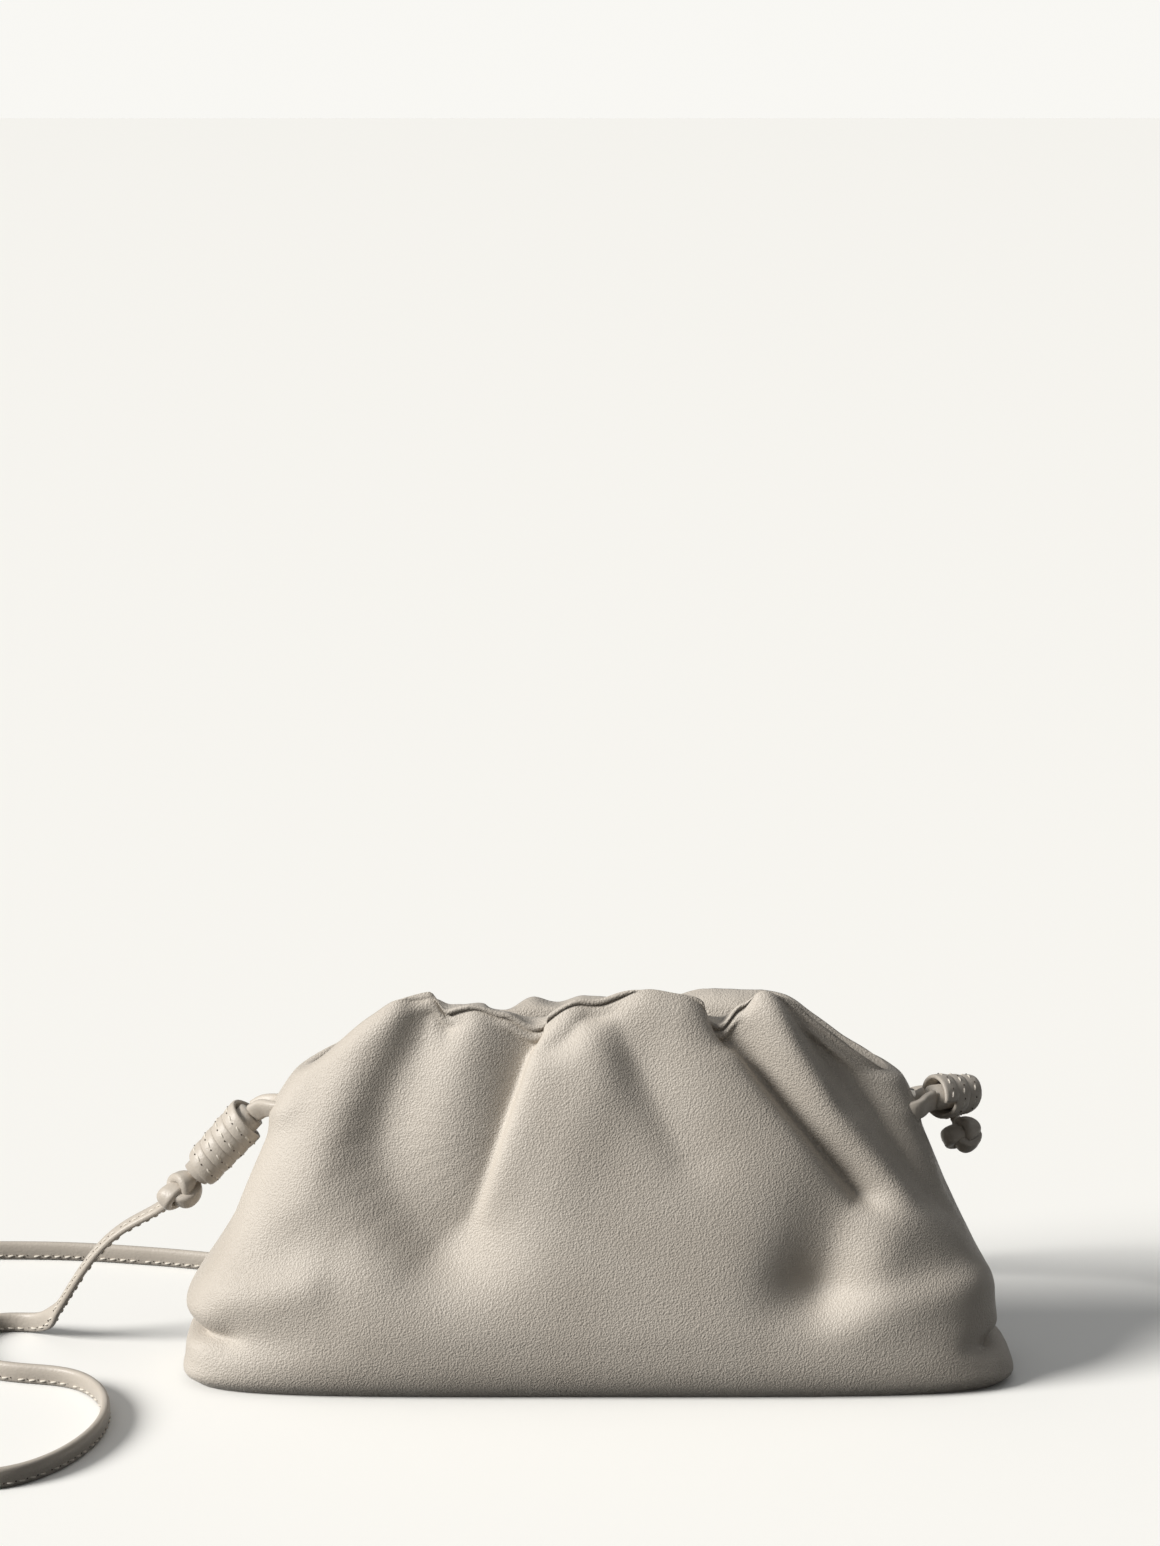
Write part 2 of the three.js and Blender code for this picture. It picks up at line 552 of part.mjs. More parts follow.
// One ring: a flat plate with an opening, the stub that holds it and a post between their heights
function endRing(end) {
  const outerEdge = RING_X + RING_BAR / 2;
  const openingEdge = RING_X - RING_BAR / 2;
  const innerEdge = openingEdge - RING_OPENING;
  const plate = roundedOutline(innerEdge - RING_BAR, outerEdge, -RING_HALF, RING_HALF, RING_CORNER);
  const half = RING_HALF_OPENING;
  plate.holes.push(roundedOutline(innerEdge, openingEdge, -half, half, OPENING_CORNER));
  const ring = new THREE.ExtrudeGeometry(plate, {
    depth: RING_BAR, bevelEnabled: false, curveSegments: RING_CORNER_STEPS,
  });
  ring.translate(0, 0, -RING_BAR / 2);
  ring.rotateX(Math.PI / 2);
  ring.translate(0, 0, RING_HEIGHT);
  const length = innerEdge - FRAME_END.x;
  const stub = new THREE.BoxGeometry(length, RING_BAR, RING_BAR);
  stub.translate(FRAME_END.x + length / 2 - RING_BAR / 4, 0, FRAME_END.z);
  const post = new THREE.BoxGeometry(RING_BAR, RING_BAR, Math.abs(RING_HEIGHT - FRAME_END.z) + RING_BAR);
  post.translate(innerEdge - RING_BAR / 2, 0, (RING_HEIGHT + FRAME_END.z) / 2);
  const parts = [ring, stub, post];
  if (end < 0) parts.forEach((part) => part.rotateZ(Math.PI));
  return parts.map(solidFrom).reduce((joined, part) => joined.add(part));
}

// The hidden frame: one bar round the mouth, just under the lips, with a ring at each end
function clasp() {
  const path = new THREE.CatmullRomCurve3(BAR_LINE.filter((point, i) => i % 2 === 0), true);
  const bar = solidFrom(new THREE.TubeGeometry(path, BAR_LINE.length / 2, BAR_RADIUS, BAR_SIDES, true));
  return geometryFrom(bar.add(endRing(1)).add(endRing(-1)));
}

function strapOutline() {
  return new THREE.Shape().absellipse(0, 0, STRAP_WIDTH / 2, STRAP_THICKNESS / 2, 0, 2 * Math.PI);
}

// A band that bends without twisting, and whose two ends lie square to one way
class BandCurve extends THREE.CatmullRomCurve3 {
  constructor(points, firstWidth, endWay) {
    super(points);
    this.firstWidth = firstWidth;
    this.endWay = endWay;
  }

  wayAt(share) {
    if (share === 0) return this.endWay.clone().negate();
    if (share === 1) return this.endWay.clone();
    return this.getTangentAt(share);
  }

  computeFrenetFrames(segments) {
    const frames = { tangents: [], normals: [], binormals: [] };
    let normal = this.firstWidth;
    for (let i = 0; i <= segments; i += 1) {
      const tangent = this.wayAt(i / segments);
      normal = normal.clone().addScaledVector(tangent, -normal.dot(tangent)).normalize();
      frames.tangents.push(tangent);
      frames.normals.push(normal);
      frames.binormals.push(tangent.clone().cross(normal));
    }
    return frames;
  }
}

// Where a winding starts, and the way that it runs
function windingAxis(end) {
  const start = new THREE.Vector3(end.side * (RING_X + end.out), end.back, RING_HEIGHT + end.up);
  return { start, way: new THREE.Vector3(...end.way).normalize(), length: end.turns * TURN_PITCH };
}

// The double end of the strap, from its winding round the bar of the ring and back
function strapLoop(end) {
  const { start, way } = windingAxis(end);
  const face = start.clone().addScaledVector(way, -TURN_GAP);
  const across = new THREE.Vector3().crossVectors(way, UPWARD).normalize();
  const apart = (STRAP_THICKNESS + LEG_GAP) / 2;
  const leg = (side) => {
    const sideways = across.clone().multiplyScalar(side * Math.sign(across.y) * apart);
    const out = face.clone().add(sideways);
    const bar = new THREE.Vector3(end.side * RING_X, side * BIGHT_RADIUS, RING_HEIGHT);
    const handle = out.distanceTo(bar) / 3;
    const fromOut = out.clone().addScaledVector(way, -handle);
    const fromBar = bar.clone().setX(bar.x + end.side * handle);
    return new THREE.CubicBezierCurve3(out, fromOut, fromBar, bar).getPoints(LEG_POINTS);
  };
  const turn = BIGHT_RADIUS * Math.SQRT1_2;
  const points = [
    ...leg(-1),
    new THREE.Vector3(end.side * (RING_X - turn), -turn, RING_HEIGHT),
    new THREE.Vector3(end.side * (RING_X - BIGHT_RADIUS), 0, RING_HEIGHT),
    new THREE.Vector3(end.side * (RING_X - turn), turn, RING_HEIGHT),
    ...leg(1).reverse(),
  ];
  const extrudePath = new BandCurve(points, across.clone().cross(way), way);
  return new THREE.ExtrudeGeometry(strapOutline(), {
    steps: LOOP_STEPS, curveSegments: STRAP_SIDES / 2, bevelEnabled: false, extrudePath,
  });
}

// The turns of the strap round its own end, as one turned body with a line between turns
function strapWinding(end) {
  const { length } = windingAxis(end);
  const radius = (y) => THREE.MathUtils.lerp(end.first, end.last, y / length);
  const profile = [[0, 0]];
  for (let turn = 0; turn < end.turns; turn += 1) {
    const from = turn * TURN_PITCH;
    const to = Math.min(from + TURN_PITCH, length);
    profile.push([radius(from) - TURN_GROOVE, from]);
    profile.push([radius(from), THREE.MathUtils.lerp(from, to, TURN_EDGE)]);
    profile.push([radius(to), THREE.MathUtils.lerp(from, to, 1 - TURN_EDGE)]);
  }
  profile.push([radius(length) - TURN_GROOVE, length]);
  profile.push([0, length]);
  const points = profile.map(([x, y]) => new THREE.Vector2(x, y));
  return new THREE.LatheGeometry(points, WINDING_SIDES);
}

// The middle of a knot, just clear of the turns that carry it
function knotPlace(end) {
  const { start, way, length } = windingAxis(end);
  const { share, hangs, under } = end.knot;
  const radius = THREE.MathUtils.lerp(end.first, end.last, share);
  const reach = under * radius + GAP + KNOT_RADIUS;
  return start.addScaledVector(way, share * length)
    .addScaledVector(new THREE.Vector3(...hangs).normalize(), reach);
}

function strapKnot(end) {
  const ball = new THREE.SphereGeometry(KNOT_RADIUS, KNOT_SIDES, KNOT_RINGS);
  ball.scale(...end.knot.size);
  return ball;
}

// A strap with its flat side upright on the ground and lying over in the air, never below the ground
class UprightCurve extends THREE.CatmullRomCurve3 {
  getPoint(t, target) {
    const point = super.getPoint(t, target);
    point.z = Math.max(point.z, LYING);
    return point;
  }

  computeFrenetFrames(segments) {
    const frames = { tangents: [], normals: [], binormals: [] };
    for (let i = 0; i <= segments; i += 1) {
      const tangent = this.getTangentAt(i / segments);
      const twist = THREE.MathUtils.smoothstep(this.getPointAt(i / segments).z, TWIST.from, TWIST.to);
      const width = UPWARD.clone().lerp(BACKWARD, twist * TWIST.share);
      const normal = width.addScaledVector(tangent, -width.dot(tangent)).normalize();
      frames.tangents.push(tangent);
      frames.normals.push(normal);
      frames.binormals.push(tangent.clone().cross(normal));
    }
    return frames;
  }
}

// Where the strap leaves a knot towards a point of its route
function knotExit(end, towards) {
  const middle = knotPlace(end);
  const way = towards.clone().sub(middle).normalize();
  return middle.addScaledVector(way, KNOT_RADIUS + GAP);
}

function strapGeometry() {
  const route = STRAP_ROUTE.map((point) => new THREE.Vector3(...point));
  const first = knotExit(LEFT_END, route[0]);
  const last = knotExit(RIGHT_END, route.at(-1));
  const extrudePath = new UprightCurve([first, ...route, last]);
  return new THREE.ExtrudeGeometry(strapOutline(), {
    steps: STRAP_STEPS, curveSegments: STRAP_SIDES / 2, bevelEnabled: false, extrudePath,
  });
}

const bodyLeather = { color: 0xa59d8e, roughness: 0.5, metalness: 0 };
const strapLeather = { color: 0xa89f92, roughness: 0.5, metalness: 0 };
const steel = { color: 0x8f8a80, roughness: 0.35, metalness: 1 };

function piece(name, geometry, finish) {
  const mesh = new THREE.Mesh(geometry, new THREE.MeshStandardMaterial(finish));
  mesh.name = name;
  return mesh;
}

function strapEnd(name, end) {
  const group = new THREE.Group();
  const { start, way } = windingAxis(end);
  const turns = piece(`strap_coil_${name}`, strapWinding(end), strapLeather);
  turns.quaternion.setFromUnitVectors(new THREE.Vector3(0, 1, 0), way);
  turns.position.copy(start);
  const knot = piece(`strap_knot_${name}`, strapKnot(end), strapLeather);
  knot.position.copy(knotPlace(end));
  group.add(piece(`strap_loop_${name}`, strapLoop(end), strapLeather), turns, knot);
  return group;
}

const bag = new THREE.Group();
bag.add(piece('pouch_body', pouchBody(), bodyLeather));
bag.add(piece('clasp_frame', clasp(), steel));
bag.add(strapEnd('left', LEFT_END));
bag.add(strapEnd('right', RIGHT_END));
bag.add(piece('strap', strapGeometry(), strapLeather));

export default bag;
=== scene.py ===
# Cloud pouch bag: the looks of a soft gathered leather bag with a thin knotted strap.
# Sizes and places are in millimetres until a mesh is made, which is in metres.
# +X is the right of the front, +Y the back, +Z up.

import math

import bpy
import numpy as np
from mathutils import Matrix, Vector


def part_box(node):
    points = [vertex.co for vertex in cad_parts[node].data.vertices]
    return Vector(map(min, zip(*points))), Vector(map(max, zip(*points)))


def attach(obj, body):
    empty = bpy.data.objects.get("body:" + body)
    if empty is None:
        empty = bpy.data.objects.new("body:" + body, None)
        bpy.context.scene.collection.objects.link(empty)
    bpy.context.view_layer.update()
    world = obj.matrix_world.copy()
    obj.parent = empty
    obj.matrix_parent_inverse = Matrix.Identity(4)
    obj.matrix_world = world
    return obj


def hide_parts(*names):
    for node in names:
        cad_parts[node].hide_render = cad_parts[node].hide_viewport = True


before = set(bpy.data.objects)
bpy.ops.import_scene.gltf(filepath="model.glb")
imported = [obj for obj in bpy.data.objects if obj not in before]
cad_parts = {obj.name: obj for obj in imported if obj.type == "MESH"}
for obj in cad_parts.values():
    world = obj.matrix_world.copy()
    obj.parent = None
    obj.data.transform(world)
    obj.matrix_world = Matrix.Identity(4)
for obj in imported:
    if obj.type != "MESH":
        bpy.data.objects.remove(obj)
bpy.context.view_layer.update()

MM = 0.001
UP = np.array([0.0, 0.0, 1.0])
BACKWARD = np.array([0.0, 1.0, 0.0])
TINY_LENGTH = 1e-9
TINY_AREA = 1e-6

# Sizes of the body, as the solids have them
WIDTH = 230.0
HEIGHT = 110.0
END_HEIGHT = 87.0
DEPTH = 62.0
WALL = 2.2
MOUTH = 7.0
LIP_DROP = 10.5
FOLD = 10.0
TOP_FOLD = 3.0
NOTCH_DROP = 1.2
FOLD_ROOM = 0.7

# Sizes of the strap and its ends
STRAP_WIDTH = 5.6
STRAP_THICKNESS = 2.8
GROUND_GAP = 0.05
LYING = STRAP_WIDTH / 2 + GROUND_GAP
TURN_GAP = 0.75
LEG_GAP = 0.8
RING_BAR = 2.0
RING_HEIGHT = 75.0
TURN_PITCH = 4.8
WINDING_THICKNESS = 2.0
WINDING_TILT = 7.0
KNOT_RADIUS = 5.4
KNOT_GAP = 0.3
KNOT_BAND_WIDTH = 5.4
KNOT_BAND_THICKNESS = 3.9

# Outline of the strap: how round its two edges and faces are, and the dent along its stitches. Places
# run from -1 at the stitched edge to 1 at the rolled one.
EDGE_POWER = 0.75
FACE_POWER = 0.7
STITCHED_FULLNESS = 0.80
ROLLED_GAIN = 0.20
DENT_DEPTH = 0.16
DENT_PLACE = -0.52
DENT_WIDTH = 0.16
OUTLINE_SIDES = 20

# Stitches and needle holes. A seat is a share of the band's thickness, a slant how far a stitch leans over
# the band for each step along it, and the sinking and the thickness of its ends are shares of its radius.
STITCH_PITCH = 3.5
STITCH_LENGTH = 2.3
STITCH_RADIUS = 0.3
STITCH_INSET = 1.25
STITCH_SLANT = 0.16
STITCH_SINK = 1.1
STITCH_END = 0.2
STITCH_RINGS = 7
STITCH_SIDES = 6
STITCH_SEAT = 0.4
WINDING_STITCH_SHIFT = 1.2
WINDING_STITCH_SEAT = 0.42
# Needle holes are not cut: each is a small near-black bar, painted shade for the inside of the hole
HOLE_LENGTH = 0.6
HOLE_RADIUS = 0.2
HOLE_SINK = 0.12
THREAD_SLOT = 1
HOLE_SHADE_SLOT = 2

# Camera and light
CAMERA_PLACE = (-5.3, -975.6, 349.9)
CAMERA_TILT = 79.5
CAMERA_LENS = 85.0
SENSOR = 36.0
SUN_WAY = (1.26, 0.53, -0.72)
SUN_STRENGTH = 4.85
SUN_SPREAD = 24.0
SUN_COLOUR = (1.0, 0.985, 0.96)
ZENITH_LIGHT = 0.42
HORIZON_LIGHT = 0.03
SKY_COLOUR = (0.97, 0.985, 1.0)
FLOOR_REACH = 60000.0

# Colours: a light and a deep one for each leather, and the other way round for the thread
POUCH_COLOURS = ((0.55, 0.5, 0.435), (0.47, 0.42, 0.358))
STRAP_COLOURS = ((0.52, 0.47, 0.405), (0.44, 0.39, 0.33))
THREAD_COLOURS = ((0.56, 0.51, 0.44), (0.76, 0.71, 0.62))
# The needle holes' near black is painted shade for the inside of each hole
HOLE_SHADE_COLOUR = (0.07, 0.055, 0.042)
METAL_COLOUR = (0.5, 0.48, 0.45)
PAPER = (0.945, 0.935, 0.90)

# Leather: clouds of colour to which a fine noise adds its share, and a grain of cells that the same noise
# shifts and to which pores add theirs. The scales of noise and pores are shares of the grain's scale, and
# the shift and the height of the grain are in metres.
CLOUD_SCALE = 38.0
FINE_SCALE = 0.6
FINE_SHARE = 0.35
COLOUR_FROM = 0.35
COLOUR_TO = 0.95
CELL_SHIFT = 0.0005
PORE_SCALE = 1.7
PORE_SHARE = 0.7
GRAIN_HEIGHT = 0.0006
SMOOTHER = 0.06
ROUGHER = 0.08


def noise(tree, place, scale, detail=2.0, roughness=0.5):
    """A noise texture in the piece's own coordinates."""
    node = tree.nodes.new("ShaderNodeTexNoise")
    node.inputs["Scale"].default_value = scale
    node.inputs["Detail"].default_value = detail
    node.inputs["Roughness"].default_value = roughness
    tree.links.new(place.outputs["Object"], node.inputs["Vector"])
    return node


def leather_nodes(material, tint, deep, grain, relief, roughness):
    """Fine grained leather: cells and pores as bump, soft cloudy changes of colour."""
    tree = material.node_tree
    nodes, links = tree.nodes, tree.links
    shader = nodes["Principled BSDF"]
    place = nodes.new("ShaderNodeTexCoord")

    cloud = noise(tree, place, CLOUD_SCALE, detail=4.0)
    fine = noise(tree, place, grain * FINE_SCALE, detail=3.0)
    both = nodes.new("ShaderNodeMath")
    both.operation = "MULTIPLY_ADD"
    both.inputs[1].default_value = FINE_SHARE
    links.new(fine.outputs["Fac"], both.inputs[0])
    links.new(cloud.outputs["Fac"], both.inputs[2])
    colour = nodes.new("ShaderNodeValToRGB")
    colour.color_ramp.elements[0].position = COLOUR_FROM
    colour.color_ramp.elements[0].color = (*deep, 1)
    colour.color_ramp.elements[1].position = COLOUR_TO
    colour.color_ramp.elements[1].color = (*tint, 1)
    links.new(both.outputs["Value"], colour.inputs["Fac"])
    links.new(colour.outputs["Color"], shader.inputs["Base Color"])

    cells = nodes.new("ShaderNodeTexVoronoi")
    cells.feature = "SMOOTH_F1"
    cells.inputs["Scale"].default_value = grain
    cells.inputs["Smoothness"].default_value = 0.6
    shifted = nodes.new("ShaderNodeVectorMath")
    shifted.operation = "MULTIPLY_ADD"
    shifted.inputs[1].default_value = (CELL_SHIFT, CELL_SHIFT, CELL_SHIFT)
    links.new(fine.outputs["Color"], shifted.inputs[0])
    links.new(place.outputs["Object"], shifted.inputs[2])
    links.new(shifted.outputs["Vector"], cells.inputs["Vector"])
    pores = noise(tree, place, grain * PORE_SCALE, detail=5.0, roughness=0.6)
    height = nodes.new("ShaderNodeMath")
    height.operation = "MULTIPLY_ADD"
    height.inputs[1].default_value = PORE_SHARE
    links.new(pores.outputs["Fac"], height.inputs[0])
    links.new(cells.outputs["Distance"], height.inputs[2])
    bump = nodes.new("ShaderNodeBump")
    bump.inputs["Strength"].default_value = relief
    bump.inputs["Distance"].default_value = GRAIN_HEIGHT
    links.new(height.outputs["Value"], bump.inputs["Height"])
    links.new(bump.outputs["Normal"], shader.inputs["Normal"])

    worn = nodes.new("ShaderNodeMapRange")
    worn.inputs["To Min"].default_value = roughness - SMOOTHER
    worn.inputs["To Max"].default_value = roughness + ROUGHER
    links.new(cloud.outputs["Fac"], worn.inputs["Value"])
    links.new(worn.outputs["Result"], shader.inputs["Roughness"])
    shader.inputs["Specular IOR Level"].default_value = 0.42
    shader.inputs["Sheen Weight"].default_value = 0.08
    shader.inputs["Sheen Roughness"].default_value = 0.5


def new_material(name):
    material = bpy.data.materials.new(name)
    material.use_nodes = True
    return material


def leather(name, colours, grain, relief, roughness):
    material = new_material(name)
    leather_nodes(material, *colours, grain, relief, roughness)
    return material


def thread():
    material = new_material("thread")
    tree = material.node_tree
    shader = tree.nodes["Principled BSDF"]
    twist = noise(tree, tree.nodes.new("ShaderNodeTexCoord"), 3500.0)
    colour = tree.nodes.new("ShaderNodeValToRGB")
    for element, tint in zip(colour.color_ramp.elements, THREAD_COLOURS):
        element.color = (*tint, 1)
    tree.links.new(twist.outputs["Fac"], colour.inputs["Fac"])
    tree.links.new(colour.outputs["Color"], shader.inputs["Base Color"])
    shader.inputs["Roughness"].default_value = 0.65
    return material


# Near-black material for the needle holes: painted shade standing in for the dark inside of each hole
def needle_hole_shade():
    material = new_material("needle_hole_shade")
    shader = material.node_tree.nodes["Principled BSDF"]
    shader.inputs["Base Color"].default_value = (*HOLE_SHADE_COLOUR, 1)
    shader.inputs["Roughness"].default_value = 0.9
    return material


def hidden_metal():
    material = new_material("frame_metal")
    tree = material.node_tree
    shader = tree.nodes["Principled BSDF"]
    shader.inputs["Metallic"].default_value = 1.0
    shader.inputs["Base Color"].default_value = (*METAL_COLOUR, 1)
    brushed = noise(tree, tree.nodes.new("ShaderNodeTexCoord"), 900.0)
    rough = tree.nodes.new("ShaderNodeMapRange")
    rough.inputs["To Min"].default_value = 0.3
    rough.inputs["To Max"].default_value = 0.45
    tree.links.new(brushed.outputs["Fac"], rough.inputs["Value"])
    tree.links.new(rough.outputs["Result"], shader.inputs["Roughness"])
    return material


def paper():
    material = new_material("paper")
    shader = material.node_tree.nodes["Principled BSDF"]
    shader.inputs["Base Color"].default_value = (*PAPER, 1)
    shader.inputs["Roughness"].default_value = 0.9
    shader.inputs["Specular IOR Level"].default_value = 0.1
    return material


class Builder:
    """Collects closed meshes in millimetres and makes one object of them."""

    def __init__(self):
        self.points = []
        self.faces = []
        self.slots = []
        self.count = 0

    def add(self, points, faces, slot=0):
        self.points.append(np.asarray(points, float))
        self.faces.extend(tuple(int(v) + self.count for v in face) for face in faces)
        self.slots.extend([slot] * len(faces))
        self.count += len(points)

    def make(self, name, materials):
        mesh = bpy.data.meshes.new(name)
        mesh.from_pydata((np.concatenate(self.points) * MM).tolist(), [], self.faces)
        mesh.polygons.foreach_set("material_index", self.slots)
        mesh.polygons.foreach_set("use_smooth", [True] * len(self.faces))
        for material in materials:
            mesh.materials.append(material)
        mesh.validate()
        mesh.update()
        piece = bpy.data.objects.new(name, mesh)
        bpy.context.scene.collection.objects.link(piece)
        return piece


CURVE_STEPS = 24


def unit(vectors):
    vectors = np.asarray(vectors, float)
    return vectors / np.maximum(np.linalg.norm(vectors, axis=-1, keepdims=True), TINY_LENGTH)


def step_between(value, low, high):
    t = np.clip((value - low) / (high - low), 0, 1)
    return t * t * (3 - 2 * t)


def smooth_line(points, step):
    """Evenly spaced points on a centripetal curve through the points."""
    points = np.asarray(points, float)
    first = 2 * points[0] - points[1]
    last = 2 * points[-1] - points[-2]
    points = np.concatenate([[first], points, [last]])
    fine = []
    for a, b, c, d in zip(points[:-3], points[1:-2], points[2:-1], points[3:]):
        knots = np.cumsum([0.0] + [np.linalg.norm(q - p) ** 0.5 for p, q in ((a, b), (b, c), (c, d))])
        t = np.linspace(knots[1], knots[2], CURVE_STEPS + 1)[:-1, None]
        ab = a + (b - a) * (t - knots[0]) / (knots[1] - knots[0])
        bc = b + (c - b) * (t - knots[1]) / (knots[2] - knots[1])
        cd = c + (d - c) * (t - knots[2]) / (knots[3] - knots[2])
        abc = ab + (bc - ab) * (t - knots[0]) / (knots[2] - knots[0])
        bcd = bc + (cd - bc) * (t - knots[1]) / (knots[3] - knots[1])
        fine.append(abc + (bcd - abc) * (t - knots[1]) / (knots[2] - knots[1]))
    fine = np.concatenate(fine + [points[-2:-1]])
    lengths = np.concatenate([[0], np.cumsum(np.linalg.norm(np.diff(fine, axis=0), axis=1))])
    wanted = np.linspace(0, lengths[-1], max(int(lengths[-1] / step), 2) + 1)
    return np.stack([np.interp(wanted, lengths, fine[:, k]) for k in range(3)], axis=1)


def line_ways(points):
    return unit(np.gradient(points, axis=0))


def eased(line, passes):
    """The line with its bends made rounder, as stiff leather takes them."""
    for _ in range(passes):
        line[1:-1] = (line[:-2] + 2 * line[1:-1] + line[2:]) / 4
    return line


def band_outline(width, thickness):
    """A folded strip of leather: a full rolled edge at +, a flatter stitched edge at -."""
    angles = np.linspace(0, 2 * np.pi, OUTLINE_SIDES, endpoint=False)
    across = np.sign(np.cos(angles)) * np.abs(np.cos(angles)) ** EDGE_POWER
    through = np.sign(np.sin(angles)) * np.abs(np.sin(angles)) ** FACE_POWER
    fullness = STITCHED_FULLNESS + ROLLED_GAIN * (across + 1) / 2
    pressed = 1 - DENT_DEPTH * np.exp(-((across - DENT_PLACE) / DENT_WIDTH) ** 2)
    return np.stack([across * width / 2, through * thickness / 2 * fullness * pressed], axis=1)


def add_tube(builder, points, rings, sides, slot, closed=False):
    """Faces between rings of points, with a cap at both ends unless the last ring meets the first."""
    faces = []
    for ring in range(rings if closed else rings - 1):
        following = (ring + 1) % rings
        for side in range(sides):
            turn = (side + 1) % sides
            faces.append((ring * sides + side, ring * sides + turn,
                          following * sides + turn, following * sides + side))
    if not closed:
        faces.append(tuple(range(sides))[::-1])
        faces.append(tuple((rings - 1) * sides + side for side in range(sides)))
    builder.add(points, faces, slot)


def sweep(builder, line, widths, faces_to, outline, slot=0, closed=False):
    """Carries an outline along a line; widths and faces_to are its two directions at each point."""
    points = (line[:, None] + outline[None, :, :1] * widths[:, None]
              + outline[None, :, 1:] * faces_to[:, None]).reshape(-1, 3)
    add_tube(builder, points, len(line), len(outline), slot, closed)


def capsule(builder, middle, along, out, length, radius, slot):
    """A stitch, or a needle hole's painted shade: a small rounded bar that sinks into the leather at both
    ends.
    """
    along, out = unit(along), unit(out)
    across = np.cross(along, out)
    angles = np.linspace(0, 2 * np.pi, STITCH_SIDES, endpoint=False)
    points = []
    for share in np.linspace(-1, 1, STITCH_RINGS):
        thick = radius * max(math.sqrt(1 - share ** 4), STITCH_END)
        centre = middle + along * share * length / 2 - out * radius * STITCH_SINK * share ** 2
        points.extend(centre + across * math.cos(a) * thick + out * math.sin(a) * thick for a in angles)
    add_tube(builder, points, STITCH_RINGS, STITCH_SIDES, slot)


def add_camera():
    """The camera, at the photograph's angle."""
    lens = bpy.data.cameras.new("camera")
    lens.lens = CAMERA_LENS
    lens.sensor_fit = "VERTICAL"
    lens.sensor_height = SENSOR
    lens.sensor_width = SENSOR
    lens.clip_start = 0.05
    lens.clip_end = 200.0
    camera = bpy.data.objects.new("camera", lens)
    camera.location = [x * MM for x in CAMERA_PLACE]
    camera.rotation_euler = (math.radians(CAMERA_TILT), 0, 0)
    bpy.context.scene.collection.objects.link(camera)
    bpy.context.scene.camera = camera


add_camera()

LEATHER = leather("pouch_leather", POUCH_COLOURS, grain=1900.0, relief=0.42, roughness=0.47)
STRAP_LEATHER = leather("strap_leather", STRAP_COLOURS, grain=1500.0, relief=0.12, roughness=0.42)
THREAD = thread()
HOLE_SHADE = needle_hole_shade()
STRAP_MATERIALS = (STRAP_LEATHER, THREAD, HOLE_SHADE)

# The middle of the strap from the left knot to the right one, the same points as its solid follows
STRAP_ROUTE = [
    (-123, 9.5, 43.2), (-132.3, 12, 37.7), (-138.1, 13, 33.2), (-143.8, 14, 26.6),
    (-150.2, 17, 16.5), (-154.5, 20.5, 9.2), (-158.8, 25, 4.2),
    (-165.5, 29.5, LYING), (-175.5, 27.5, LYING),
    (-181.5, 16, LYING), (-179.5, 1.5, LYING), (-171, -9, LYING), (-160, -13.4, LYING),
    (-151.6, -15, LYING), (-144.3, -18.2, LYING), (-138.2, -25.4, LYING), (-133.8, -36.3, LYING),
    (-132.2, -50, LYING), (-134.5, -65, LYING), (-141.7, -81.1, LYING), (-152, -91, LYING),
    (-172, -94.5, LYING), (-212, -91, LYING), (-246, -77, LYING), (-268, -48, LYING),
    (-275, -8, LYING), (-270, 38, LYING), (-249, 74, LYING), (-212, 92.5, LYING),
    (-168.4, 95.5, LYING), (-136.2, 90.1, LYING), (-100, 80.5, LYING), (-60, 75.5, LYING),
    (-15, 76.5, LYING), (24, 81, LYING), (44, 82, 5.5), (57, 78, 16.5),
    (67.5, 71.5, 33), (79, 60.5, 53), (90.5, 46, 66), (98.5, 31, 69.2),
]
STRAP_STEP = 1.6
BEND_PASSES = 10
# How far the strap's width turns from upright to level, and from where to where over its lying height
TWIST_SHARE = 0.9
TWIST_LOW = 1
TWIST_HIGH = 9


def node_middle(node):
    low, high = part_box(node)
    return np.array((low + high) / 2) / MM


def knot_exit(node, towards):
    middle = node_middle(node)
    return middle + unit(np.subtract(towards, middle)) * (KNOT_RADIUS + KNOT_GAP)


def add_stitches(builder, line, ways, widths, outs, inset, face):
    """A row of slanted stitches along a swept band, each with a near-black mark of painted shade for its
    needle hole at one end.
    """
    lengths = np.concatenate([[0], np.cumsum(np.linalg.norm(np.diff(line, axis=0), axis=1))])
    for at in np.arange(STITCH_PITCH / 2, lengths[-1] - STITCH_LENGTH, STITCH_PITCH):
        i = int(np.searchsorted(lengths, at))
        seat = line[i] - widths[i] * (STRAP_WIDTH / 2 - inset) + outs[i] * face
        along = ways[i] + widths[i] * STITCH_SLANT
        capsule(builder, seat, along, outs[i], STITCH_LENGTH, STITCH_RADIUS, THREAD_SLOT)
        shaded_hole = seat + unit(along) * (STITCH_PITCH / 2) - outs[i] * HOLE_SINK
        capsule(builder, shaded_hole, ways[i], outs[i], HOLE_LENGTH, HOLE_RADIUS, HOLE_SHADE_SLOT)


